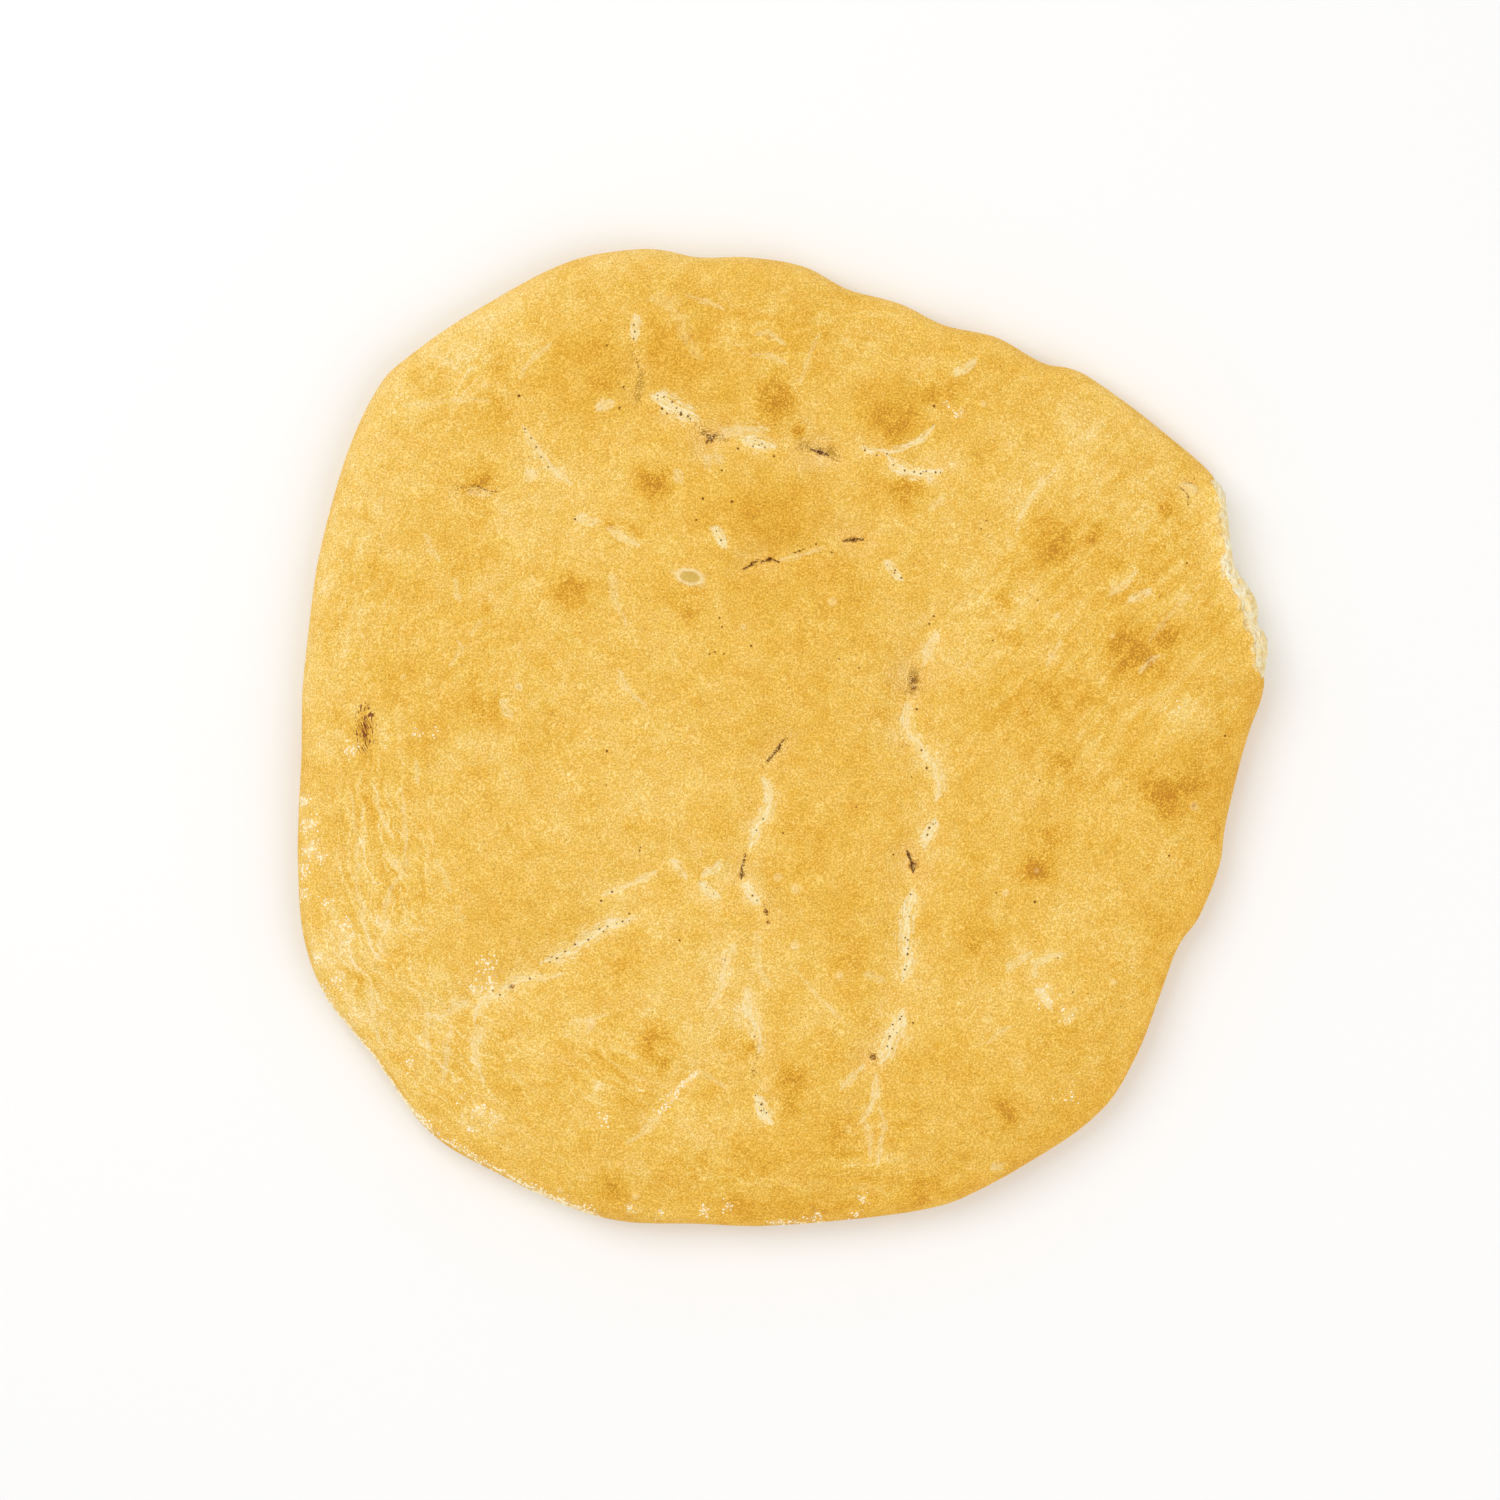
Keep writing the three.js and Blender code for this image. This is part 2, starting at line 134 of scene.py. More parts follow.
# What the oven and the baker's hands left on the crust follows, each as a place and a size.
#
# Pale streaks, where the crust stretched: half-width, strength, route.
STREAKS = [
    (1.2, 0.8, [(-44.5, 127), (-44, 118.5)]), (2.4, 1, [(-39, 102.5), (-32.5, 99), (-26, 95.8)]),
    (1.6, 0.55, [(-19, 90), (-14.5, 92), (-10, 92.5), (-5, 92)]),
    (1.7, 0.95, [(-12, 89.3), (-7.5, 88.2), (-2.5, 87.2)]),
    (0.9, 0.8, [(45.5, 93.5), (41.5, 89), (36.5, 87), (32, 85.5), (25.5, 86), (23.5, 87)]),
    (1.5, 1, [(31.5, 84.5), (33, 81.5), (36.5, 80), (41.5, 79), (47.5, 80)]),
    (1.6, 0.5, [(46, 31.5), (44.5, 26.5), (42, 21.5)]),
    (1.8, 0.65, [(37.5, 10.5), (37, 5), (38, 0.5), (41, -2.5), (43.5, -6.5), (45.5, -9.5),
     (47, -13.5), (47.5, -16), (46, -19)]),
    (1.5, 0.9, [(46, -24.5), (44, -28.5), (42.5, -33.5)]),
    (1.8, 0.95, [(39, -46), (37.5, -51.5), (37, -59.5), (37.5, -67), (36.5, -73)]),
    (2.1, 0.95, [(36, -83), (34, -87), (32.5, -91), (31, -95), (29.5, -97.5)]),
    (1.1, 0.6, [(28, -101), (28, -107.5), (26, -112), (23.5, -115.5)]),
    (0.8, 0.41, [(29, -111.5), (30.5, -116.5), (29, -123.5), (28.5, -128.5)]),
    (0.8, 0.36, [(24.5, -114.5), (26.5, -121.5), (26, -127.5)]),
    (1.5, 0.8, [(-6, -12.5), (-4, -16.5), (-4, -20.5), (-5.5, -24), (-8, -26), (-8.5, -29.5),
     (-10, -32.5)]),
    (1.2, 1, [(-12, -44), (-9.5, -47), (-7, -50)]),
    (1.4, 0.25, [(-8, -59), (-7.5, -65.5), (-6.5, -71.5), (-4, -75)]),
    (1.6, 0.5, [(-14.5, -62), (-16.5, -65.5), (-18, -71.5), (-19, -76)]),
    (0.8, 0.32, [(-19, -76.5), (-22, -81.5)]),
    (1.8, 0.6, [(-11, -76), (-10.5, -82), (-8.5, -86.5), (-7, -91), (-7, -94.5)]),
    (1.6, 1, [(-8, -107.5), (-6.5, -112), (-3.5, -116)]),
    (1.0, 0.7, [(-33.5, -37), (-31, -39.5), (-29, -42.5)]),
    (0.9, 0.7, [(-24.5, -42), (-20.5, -39.5), (-19, -37)]),
    (1.0, 0.9, [(-25, -43.5), (-22.5, -46), (-18.5, -48.5)]),
    (0.8, 0.6, [(-37.5, -40), (-43, -43), (-47.5, -45), (-54, -47.5)]),
    (1.6, 0.85, [(-45.5, -54.5), (-51.5, -56.5), (-57.5, -59.5), (-62, -63), (-67, -66), (-72.5, -68)]),
    (1.1, 0.6, [(-66, -71), (-71.5, -72.5), (-79, -72.5), (-82, -74.5), (-85, -77), (-89.5, -79),
     (-92, -82), (-92.5, -85.5)]),
    (1.1, 0.4, [(-92.5, -85.5), (-91.5, -89.5), (-92.5, -94.5), (-91.5, -100), (-89.5, -103.5)]),
    (1.1, 0.45, [(-94.5, -79), (-99.5, -82.5), (-104, -85)]),
    (1.1, 0.4, [(-99.5, -87.5), (-101, -92.5), (-101, -97), (-102.5, -103.5)]),
    (0.9, 0.35, [(-106, -83), (-107.5, -88), (-106, -94)]),
    (1.2, 0.55, [(-78, 93.5), (-76, 89.5), (-73, 85.5), (-70.5, 81.5), (-67, 78.5), (-64, 76)]),
    (1.1, 0.45, [(-76.5, 80.5), (-75.5, 76.5)]), (1.5, 0.45, [(-62.5, 65.5), (-59, 65), (-55.5, 65)]),
    (1.2, 0.45, [(-53, 63), (-49, 60.5), (-43.5, 57.5)]),
    (1.3, 0.9, [(-21.5, 63), (-19, 60.5), (-17, 56.5)]),
    (1.2, 0.26, [(-52, 49), (-50.5, 44), (-50, 40.5), (-48.5, 36.5), (-47, 33.5)]),
    (0.8, 0.42, [(-49, 20), (-47.5, 15.5), (-45, 12.5), (-41, 9.5)]),
    (1.1, 0.41, [(-85, 11.5), (-83, 8.5), (-81.5, 6)]),
    (1.1, 0.85, [(30.5, 53), (32.5, 50.5), (36, 47)]),
    (0.8, 0.45, [(82, 80.5), (77.5, 76), (74, 71.5), (71.5, 67), (70, 61.5)]),
    (0.8, 0.41, [(-1.5, 53), (5, 54.5), (13, 57)]),
    (1.1, 0.6, [(51.5, 108.5), (54.5, 110.5), (58, 113.5)]),
    (2.0, 0.16, [(-40, 131.5), (-35.5, 131), (-32.5, 128.5), (-30.5, 125), (-29.5, 120.5),
     (-27.5, 116), (-24.5, 113.5)]),
    (0.8, 0.32, [(-29, 132.5), (-23.5, 131), (-17, 128)]),
    (0.8, 0.36, [(-8.5, 120.5), (-4.5, 121), (-2, 119.5), (1, 117.5)]),
    (0.8, 0.36, [(-10, 114.5), (-4, 114.5), (1, 112)]), (1.2, 0.7, [(-56, 98), (-51, 100.5)]),
    (1.1, 0.36, [(-23.5, 85), (-22, 80)]), (1.1, 0.36, [(-20, 85), (-18.5, 81.5)]),
    (1.1, 0.36, [(-32.5, 80.5), (-30.5, 76)]),
    (0.8, 0.36, [(-69.5, 118), (-74, 114.5), (-77, 111.5), (-79, 107.5)]),
    (0.9, 0.6, [(103.5, 40.5), (107, 42.5), (110.5, 44.5)]),
    (1.1, 0.41, [(98, 42.5), (102.5, 46), (106, 50)]),
    (0.8, 0.2, [(109.5, 28.5), (114.5, 35), (120.5, 41), (127, 47)]),
    (0.8, 0.36, [(83.5, 29.5), (81.5, 25.5), (79, 21.5)]),
    (0.8, 0.42, [(107, 19.5), (110, 23), (113, 24.5)]),
    (0.8, 0.55, [(17, -106), (20.5, -102), (24.5, -98.5)]),
    (1.1, 0.41, [(67, -70), (70.5, -67), (74.5, -64.5)]),
    (0.9, 0.45, [(75.5, -72), (76, -68), (80, -65.5), (85, -65.5)]),
    (0.9, 0.7, [(75.5, -75.5), (78.5, -77.5), (80.5, -82)]), (0.9, 0.36, [(84.5, -86), (88, -81.5)]),
    (0.7, 0.36, [(61, -92), (65, -88.5), (68.5, -86.5)]),
    (0.7, 0.32, [(3.5, -69.5), (11, -78.5), (19, -86.5)]), (1.1, 0.36, [(24, -71), (30.5, -73)]),
    (0.8, 0.32, [(-28, -101.5), (-24.5, -100.5), (-20.5, -103), (-17, -105.5)]),
    (1.1, 0.36, [(-37, -113.5), (-42, -119), (-46.5, -121.5)]),
    (0.5, 0.32, [(-64.5, -86), (-59, -85), (-52.5, -83)]),
    (0.8, 0.27, [(-129.5, -17), (-128.5, -28), (-127.5, -35.5), (-128, -43), (-127, -49.5),
     (-125.5, -56.5), (-123.5, -64), (-122, -68)]),
    (0.8, 0.32, [(-124, -74), (-123.5, -82), (-122, -91.5)]),
    (0.6, 0.32, [(-122.5, -14), (-121.5, -20.5), (-119, -26.5)]),
    (0.9, 0.32, [(-114.5, -15.5), (-113.5, -23.5), (-113, -33.5), (-113.5, -40.5), (-117.5, -45.5),
     (-119.5, -51), (-119.5, -58), (-120.5, -63), (-122.5, -67.5)]),
    (0.6, 0.35, [(-110, -6.5), (-109.5, -14.5)]),
    (0.8, 0.26, [(-103, -38), (-101, -42.5), (-99.5, -46.5)]),
    (0.8, 0.27, [(-98.5, -50), (-96, -55.5)]), (0.8, 0.32, [(-98.5, 47.5), (-97, 40.5)]),
    (0.7, 0.32, [(-98, 29.5), (-96, 26.5), (-100, 21)]), (0.7, 0.32, [(-94, 30), (-90.5, 35)]),
    (0.8, 0.32, [(-107.5, 61), (-105.5, 56.5), (-103, 53)]),
    (1.1, 0.36, [(-95, 73), (-91, 74), (-87.5, 72.5)]),
    (0.8, 0.27, [(-114.5, 100), (-106, 100), (-99.5, 101), (-87.5, 101)]),
    (0.8, 0.32, [(-106.5, 115), (-100, 113), (-98, 110)]),
    (0.7, 0.27, [(5, 105.5), (6.5, 110), (8.5, 116), (11, 121)]),
    (1.1, 0.45, [(62.5, -130), (67, -128.5)]), (0.9, 0.36, [(48.5, 72.5), (44, 68)]),
]
# Browned spots: x, y, radius, strength.
BROWNED = [
    (-54, 106, 1.5, 0.2), (-2, 103, 6.5, 0.27), (-2, 101, 2.5, 0.12), (33, 93, 8, 0.14),
    (4, 93, 2, 0.35), (-39, 76, 5.8, 0.28), (-91, 76, 6.3, 0.24), (-64, 44, 5.2, 0.2),
    (-28, 41, 6.9, 0.18), (-88, 9, 5.8, 0.17), (-85, 98, 4.6, 0.14), (36, 74, 5.8, 0.26),
    (79, 61, 8, 0.13), (83, 54, 4.6, 0.14), (93, 62, 4.6, 0.22), (68, 50, 4.0, 0.16),
    (66, 41, 3.4, 0.14), (68, 30, 4.0, 0.2), (104, 28, 11, 0.11), (103, 23, 5.8, 0.12),
    (115, 31, 4.6, 0.18), (107, 18, 2.5, 0.08), (98, 53, 3.4, 0.14), (81, 11, 4.0, 0.14),
    (92, 11, 2.5, 0.12), (73, 10, 3.4, 0.1), (82, -6, 5.2, 0.18), (112, -16, 6.5, 0.17),
    (122, -12, 4.8, 0.18), (116, -21, 5.2, 0.2), (130, -27, 4.6, 0.17), (76, -39, 5.2, 0.3),
    (81, -30, 3.4, 0.2), (92, -32, 2.5, 0.14), (58, -62, 6.3, 0.12), (-44, -27, 4.6, 0.16),
    (-19, -28, 5.8, 0.07), (-38, -91, 5.8, 0.13), (-36, -98, 2.5, 0.14), (-14, -92, 5.8, 0.14),
    (-10, -93, 2, 0.16), (2, -103, 5, 0.2), (2, -112, 4.0, 0.18), (19, -63, 5, 0.09),
    (20, -79, 4.4, 0.07), (67, -112, 5.2, 0.2), (41, -136, 7.5, 0.14), (37, -118, 4.6, 0.1),
    (19, -122, 5.8, 0.12), (-11, -143, 6.3, 0.06), (-10, -128, 6.3, 0.08), (-52, -135, 4.6, 0.16),
    (-28, -127, 5.8, 0.07), (-46, -67, 5.8, 0.08), (-58, -68, 3.4, 0.08), (116, 70, 3.5, 0.3),
    (124, -44, 2.5, 0.15), (115, -59, 2.5, 0.14), (-92, 53, 5.8, 0.1), (-98, 50, 2, 0.12),
    (-73, 23, 4.6, 0.1), (-88, 38, 2, 0.12), (-115, 32, 4.6, 0.08), (-116, -2, 1.5, 0.14),
    (-51, 64, 1.5, 0.2), (-46, 64, 1.5, 0.2), (-43, 61, 1.5, 0.2), (46, 104, 6, 0.22),
    (110, 58, 12, 0.1), (108, 45, 4, 0.12), (-108, -48, 4, 0.12), (-85, 112, 7, 0.1), (-71, 84, 4, 0.1),
    (110, 23, 3, 0.14), (-5, 95, 4, 0.1), (17, 49, 5, 0.12), (88, -14, 7, 0.1), (110, -37, 4, 0.12),
    (-30, 5, 14, 0.05), (32, 10, 6, 0.08), (100, -66, 4, 0.12), (106, 77, 7, 0.09), (118, 60, 7, 0.08),
    (64, 42, 6, 0.1), (92, -14, 6, 0.1), (-2, -110, 6, 0.1), (77, -40, 2.5, 0.08), (4.2, 92.5, 2, 0.18),
    (14, 120.5, 2, 0.16), (-89, 68, 6, 0.07), (-22, -128, 6, 0.05), (65, -118, 4, 0.06),
    (-68, 86, 6, 0.07), (27, -84, 4, 0.1), (-111, -91, 5, 0.1), (45, 10, 4, 0.08), (47, -1, 4, 0.06),
    (28, 19, 7, 0.05), (33, 4, 5, 0.05), (-50, 25, 6, 0.07), (-45, 3, 6, 0.05), (-5, -17, 4, 0.07),
    (-21, -38, 3, 0.1), (-7, -67, 6, 0.07), (-24, -64, 5, 0.05), (-126, -29, 3, 0.1),
    (92, -91, 8, 0.06), (121, -36, 6, 0.06), (70, -103, 6, 0.04),
]
# Amber domes, evenly baked to a clear edge: x, y, half sizes, turn in degrees, strength.
AMBER = [
    (-60, 109, 15, 12, 20, 0.14), (-30, 113.5, 13, 14, 0, 0.09), (31, 100, 13, 12, 0, 0.15),
    (2, 68, 19, 11, 10, 0.09), (36, 75, 6, 4, 0, 0.12), (77, 59, 8, 9, 0, 0.05),
    (106, 26, 12, 9, 20, 0.04), (118, -17, 10, 8, 0, 0.03), (-64, 44, 6, 6, 0, 0.06),
    (-8, -4, 16, 12, 0, 0.05), (19, -73, 8, 10, 0, 0.05), (-37, -93, 7, 10, 0, 0.05),
    (2, -104, 6, 8, 0, 0.06),
]
# Pale areas, where the crust is thinner or was kept light, and browner ones below nought: x, y, radius,
# strength.
PALE_AREAS = [
    (-125, 60, 24, 0.06), (-120, -40, 26, 0.02), (-95, -92, 20, 0.03), (-100, 112, 14, 0.04),
    (-59, -88, 3.5, 0.16), (68, 33, 3, 0.16), (122, 8, 5, 0.12), (19, -104, 4, 0.14),
    (35, -91, 7, 0.07), (105, 42, 7, 0.06), (80, -71, 5, 0.06), (64, -78, 10, 0.08), (90, -25, 6, 0.03),
    (118, 12, 8, 0.05), (-62, 108, 5, 0.05), (45, 112, 10, 0.04), (-75, 60, 14, 0.02),
    (-98, 5, 16, 0.07), (-122, 95, 13, 0.06), (-75, -82, 18, 0.03), (-3, 30, 13, 0.04),
    (52, 48, 14, 0.05), (-60, 128, 12, 0.08), (-60, -42, 8, 0.08), (10, -70, 12, 0.05),
    (6, -115, 7, 0.06), (-30, -85, 14, 0.03), (100, 88, 26, 0.11), (60, 118, 14, 0.04),
    (-128, -60, 22, 0.04), (-140, 10, 14, 0.05), (0, 143, 26, -0.06), (110, -75, 26, 0.06),
    (-45, 0, 18, -0.045), (35, 22, 12, -0.05), (122, 0, 11, 0.09), (95, 5, 12, 0.04), (88, 42, 8, 0.06),
    (-80, -15, 26, 0.03), (35, 76.5, 5, 0.15), (-43, 108, 5, 0.1), (-85, -118, 18, 0.06),
    (-115, -30, 14, -0.02), (-90, -62, 16, -0.055), (-12, 132, 14, 0.03), (-30, -113, 10, 0.04),
    (15, -70, 10, 0.04), (-137, -30, 12, 0.05), (18, -10, 22, -0.02), (-20, -45, 20, -0.015),
    (-3, 83, 8, -0.06), (-5, -5, 26, -0.02), (-137, -62, 10, 0.11), (-130, -85, 10, 0.11),
    (-115, -103, 10, 0.1), (-98, -118, 10, 0.08), (-80, -128, 10, 0.04), (-143, -5, 10, 0.04),
    (-20, 146, 14, -0.05), (42, 79, 5, 0.07), (-69, 8, 6, 0.06), (57, 72, 8, 0.05), (92, 46, 5, 0.05),
]
# Dark cracks: half-width, strength, route.
CRACKS = [
    (0.35, 0.7, [(-23.5, 91.8), (-21.5, 90), (-21.6, 88.2)]),
    (0.35, 0.9, [(-20.2, 91.2), (-22, 89.9), (-22.8, 88.9)]),
    (0.35, 0.75, [(-21.5, 90.3), (-24.4, 91.4)]), (0.6, 1.0, [(8.7, 86.5), (11.3, 85.6), (13.3, 85)]),
    (0.35, 0.7, [(12, 85), (14.5, 84), (17, 83)]), (0.3, 0.45, [(-2, 87), (5, 86.7)]),
    (0.5, 0.95, [(-11.5, 50.5), (-9, 52), (-7.5, 53)]),
    (0.5, 0.95, [(-6.5, 52.5), (-4, 53.5), (-1.5, 52.5)]),
    (0.5, 0.95, [(18.5, 59), (21.5, 59.5), (24, 59.5)]), (0.4, 0.6, [(3, 55), (8.5, 57.5)]),
    (0.6, 1.0, [(37.5, -34.5), (39, -38), (39.3, -40.5)]), (0.4, 0.8, [(40.5, -37), (39, -38.5)]),
    (0.55, 0.95, [(0, -1), (-2, -4), (-4.5, -7)]), (0.35, 0.6, [(1.5, -2.7), (-1, -5.7)]),
    (0.55, 0.85, [(-11.3, -35.5), (-12.3, -39.5), (-12.6, -42.5)]),
    (0.5, 0.7, [(-5.7, -51), (-5, -53.5)]), (0.4, 0.7, [(-5, -55.5), (-4, -56)]),
    (0.5, 0.5, [(-8, -96), (-9, -101)]),
    (0.35, 0.7, [(-96.5, 75), (-92, 75.5), (-90, 74.5), (-86, 73.5)]),
    (0.5, 0.7, [(-42.8, -33.3), (-43, -35.5)]),
    (0.3, 0.8, [(118.9, 75.1), (120.5, 73.8), (121.3, 72.9), (122, 71.6), (121.5, 69.9)]),
    (0.3, 0.6, [(120.6, 76), (123.3, 76.4), (124, 78.2)]), (0.35, 0.6, [(-6.5, -110), (-5.5, -113)]),
    (0.35, 0.5, [(-82.5, -75.3), (-80, -74.5)]), (0.3, 0.6, [(-44.2, 114), (-43.2, 110)]),
    (0.3, 0.6, [(-43.4, 106), (-44.2, 102.5)]), (0.3, 0.7, [(-21.3, 90.4), (-18.7, 90.8)]),
]
# Painted greenish shade in the deepest hollows, which are also sunk into the relief: half-width, strength,
# route.
HOLLOWS_WITH_PAINTED_SHADE = [
    (2.4, 0.9, [(-25.5, 93.5), (-21.5, 90.5), (-19, 89.5)]),
    (2.2, 1.0, [(6, 87.8), (11.5, 87), (16, 84.8)]), (1.6, 0.6, [(-12, 51), (-1, 53)]),
    (1.5, 0.7, [(18, 59), (25, 59.5)]), (3.0, 1.0, [(39.2, 18.5), (39.2, 14.5)]),
    (1.9, 0.45, [(39, -35.5), (39.5, -41)]), (2.6, 0.6, [(27, -94.5), (27, -98)]),
    (1.9, 0.8, [(-44, 116), (-42.5, 108), (-43.5, 101)]), (2.2, 0.8, [(1, -1), (-5, -8)]),
    (1.2, 0.6, [(-11, -35), (-12.5, -43)]), (1.4, 0.6, [(-5.5, -50), (-5, -55)]),
    (1.8, 0.6, [(-7.5, -95), (-9, -101), (-11, -105)]), (1.6, 0.8, [(-98, 75), (-85, 74)]),
    (1.0, 0.5, [(-61, -61.5), (-57, -59)]), (0.9, 0.6, [(-36, 99), (-29, 96)]),
    (1.4, 0.3, [(0, 57), (14, 58)]),
]
# Hollows at the ends of the creases, sunk into the relief and darkened with painted shade: x, y, radius.
DARK_PITS = [
    (-21.6, 90, 1.1), (-22.6, 88.9, 0.5), (11.2, 85.7, 1.1), (-9, 52, 0.8), (-4.3, 53.2, 0.8),
    (21.5, 59.4, 0.8), (39.2, 17, 1.3), (39.3, 15.2, 0.9), (39.2, -38.6, 1.3), (38.2, -35.8, 0.7),
    (27.1, -96.4, 1.1), (-1.5, -3.6, 0.6), (-12.3, -41.4, 0.9), (-5.2, -52.6, 0.7), (-81.4, -75, 0.9),
    (-4.6, -55.6, 0.5),
]
# Pinholes, sunk into the relief and darkened with painted shade: x, y, radius.
PINHOLES = [
    (-52.8, 117.3, 0.45), (-79.2, 102.3, 0.6), (-49, 98.7, 0.5), (-47.7, 105, 0.45),
    (-62.4, 65.4, 0.45), (-24, 71.4, 0.5), (-15.3, 70.5, 0.55), (-26, 65, 0.4), (-13.5, 86.7, 0.5),
    (-2.7, 84.3, 0.45), (-18.3, 80, 0.4), (45.3, 99.3, 0.6), (5.1, 55.8, 0.4), (10, 57.9, 0.4),
    (14.7, 55.5, 0.4), (45.3, 36.3, 0.45), (44, 34, 0.4), (-19, 35.7, 0.4), (-18.3, 33, 0.4),
    (59.4, 62.4, 0.35), (61, 64.8, 0.35), (-9.6, 27.3, 0.45), (-20.4, 25.5, 0.4), (-22, 24.9, 0.4),
    (-17.7, 24.9, 0.35), (16.8, 23.4, 0.35), (22.8, 20.7, 0.35), (40.2, 8.4, 0.5), (-52.8, -4.2, 0.5),
    (-53, -14.4, 0.3), (-51.3, -46.5, 0.45), (-54.6, -49.2, 0.5), (-46.2, -53.1, 0.4), (0, -28.8, 0.4),
    (22, -21, 0.35), (33.3, -35.4, 0.4), (-31, -61, 0.45), (64, -46.8, 0.35), (75.6, -49.5, 0.55),
    (77, -13, 0.35), (116, -35.7, 0.45), (87, -76.5, 0.35), (82.5, -66.3, 0.35), (133, 0.3, 0.45),
    (121.2, 52.2, 0.4), (76.5, 41, 0.35), (63, 29, 0.35), (-36.3, 98.7, 0.55), (-33.3, 100.5, 0.4),
    (-30.6, 96.9, 0.6), (-28.5, 96.3, 0.5), (-34.8, 97.2, 0.4), (-9, 87.3, 0.35), (-5.4, 87, 0.35),
    (-7.2, 87.6, 0.3), (-44.7, 123.6, 0.35), (-44.4, 121.5, 0.4), (-44.8, 119.4, 0.35),
    (24.6, 86.1, 0.4), (28.2, 84.6, 0.35), (31.2, 84.9, 0.35), (36.6, 80.1, 0.4), (41.4, 79.2, 0.4),
    (43, 79.8, 0.35), (41.7, -3.9, 0.45), (43.2, -9.3, 0.5), (44, -27.3, 0.5), (43.5, -29.4, 0.35),
    (37.5, -61, 0.4), (37.6, -63.6, 0.35), (37.4, -65.4, 0.4), (33, -86.4, 0.4), (32, -90, 0.45),
    (39, -85.8, 0.4), (31.2, -93, 0.35), (-62.4, -62.4, 0.45), (-65.4, -64.5, 0.4), (-58.5, -61, 0.4),
    (-68, -66.6, 0.35), (-55, -57.6, 0.35), (-76, -72.6, 0.4), (-85, -77.4, 0.4), (-87, -76.2, 0.35),
    (-6.6, -110.4, 0.45), (-77.5, 92.4, 0.35), (-75.6, 89.7, 0.35), (-74.1, 87, 0.35),
    (-72.6, 84, 0.35), (-70.5, 81, 0.35), (-6, -24.6, 0.35), (-8, -28, 0.35), (-17.4, -67, 0.3),
    (-8.5, -90, 0.35), (38.6, -12, 0.3),
]
# Small pale blisters, some with a sunken middle: x, y, radius, how sunken.
BLISTERS = [
    (-79.2, 15, 1.3, 0.8), (14.7, 40.5, 1.7, 0), (3.6, -45.3, 1.8, 0), (-1.5, -42, 1.6, 0),
    (76, -40, 1.0, 0), (123.3, -20.7, 1.7, 0.9), (82.2, 36.3, 1.2, 0), (3.6, -62.4, 1.7, 0),
    (99, -73.5, 1.2, 0), (-114, 18, 1.1, 0), (66.6, -46.8, 1.4, 0), (17, -71.4, 1.4, 0),
    (-57.6, -86, 1.8, 0), (107, 19.5, 1.0, 0), (98.7, 30.3, 1.0, 0), (-44.4, -138, 1.3, 0),
    (-67, -136, 1.2, 0), (44, 77, 1.1, 0), (60, 100, 1.2, 0), (-12, 33, 1.0, 0),
]
# The oval scar where a bubble's skin came off: x, y, half-length, half-width, turn in degrees.
SCAR = (-27.9, 48, 3.4, 1.9, -12)
# A torn flap of skin near the top of the tear: x, y, radius.
FLAP = (121.5, 74.4, 3.2)
# Flour: x, y, radius, strength.
FLOUR_SPOTS = [
    (-144, -19, 1.8, 0.7), (-143, -26.4, 2.2, 0.75), (-142, -34, 2.4, 0.8), (-144.5, -40, 1.8, 0.7),
    (-144, -47.4, 1.8, 0.6), (-139, -36.3, 1.3, 0.9), (-137, -50, 1.8, 0.6), (-131.5, -56.4, 2, 0.6),
    (-129.5, -60, 1.6, 0.6), (-133.5, -73, 2.2, 0.7), (-140, -66, 1.8, 0.6), (-129.3, -3.6, 2.0, 0.75),
    (-110, 1.2, 1.6, 0.5), (-104, 1.5, 1.6, 0.4), (-88.8, -68.4, 2.4, 0.55), (-88, -74.4, 2.6, 0.65),
    (-92, -76, 1.8, 0.6), (-89, -71.5, 3.6, 0.4), (-91, -112, 2, 0.6), (-87, -115, 1.6, 0.5),
    (-94, -118, 1.6, 0.5), (-54, -114, 1.9, 0.5), (-61, -143.5, 2.2, 0.8), (-57, -145.2, 2.0, 0.8),
    (-66, -141, 2.2, 0.8), (-46, -141.8, 1.8, 0.6), (-37, -143.4, 1.6, 0.5), (-24, -142.5, 1.8, 0.5),
    (-17, -141.3, 1.6, 0.5), (24, -139, 1.3, 0.8), (21.6, -143, 1.8, 0.6), (10, -145.2, 2.4, 0.5),
    (79, -77.4, 4.2, 0.35), (84.6, -83.4, 3, 0.3), (49.5, 99.6, 1.4, 0.6), (53, 97, 1.4, 0.5),
    (86, -107.4, 4, 0.25), (118, 8, 3, 0.2), (-112, -98, 2, 0.4), (-97, -108, 2, 0.3),
]
# Flour streaks: half-width, strength, route.
FLOUR_STREAKS = [
    (1.0, 0.5, [(-139, -75), (-134, -83), (-129, -90.5)]),
    (0.9, 0.75, [(-129, -90.5), (-123, -97), (-115.5, -108.5), (-107.5, -117)]),
    (1.0, 0.5, [(-107, -118), (-90, -128.4), (-79, -134)]),
    (1.0, 0.6, [(-79, -134.5), (-68, -139.5), (-56, -144.5)]),
    (1.0, 0.6, [(-26.4, -101.4), (-33.3, -107.4), (-36.6, -112)]),
    (1.0, 0.35, [(12, -146), (-4, -146.5)]),
]
# The scorched mark near the left rim: its middle and half sizes.
SCORCH = (-125.4, 2.6, 2.5, 6.2)
# Where the skin is finely wrinkled, along the rim: x, y, half sizes, strength.
WRINKLED = [
    (-122, -45, 16, 50, 1.0), (-98, -96, 22, 26, 0.8), (-48, -101, 20, 14, 0.9),
    (-98, 108, 20, 16, 0.6), (-125, 40, 14, 40, 0.5), (25, -126, 12, 16, 0.7), (0, 122, 50, 12, 0.4),
    (-15, -132, 60, 10, 0.4), (-85, 20, 30, 40, 0.3), (110, -85, 20, 40, 0.3),
]
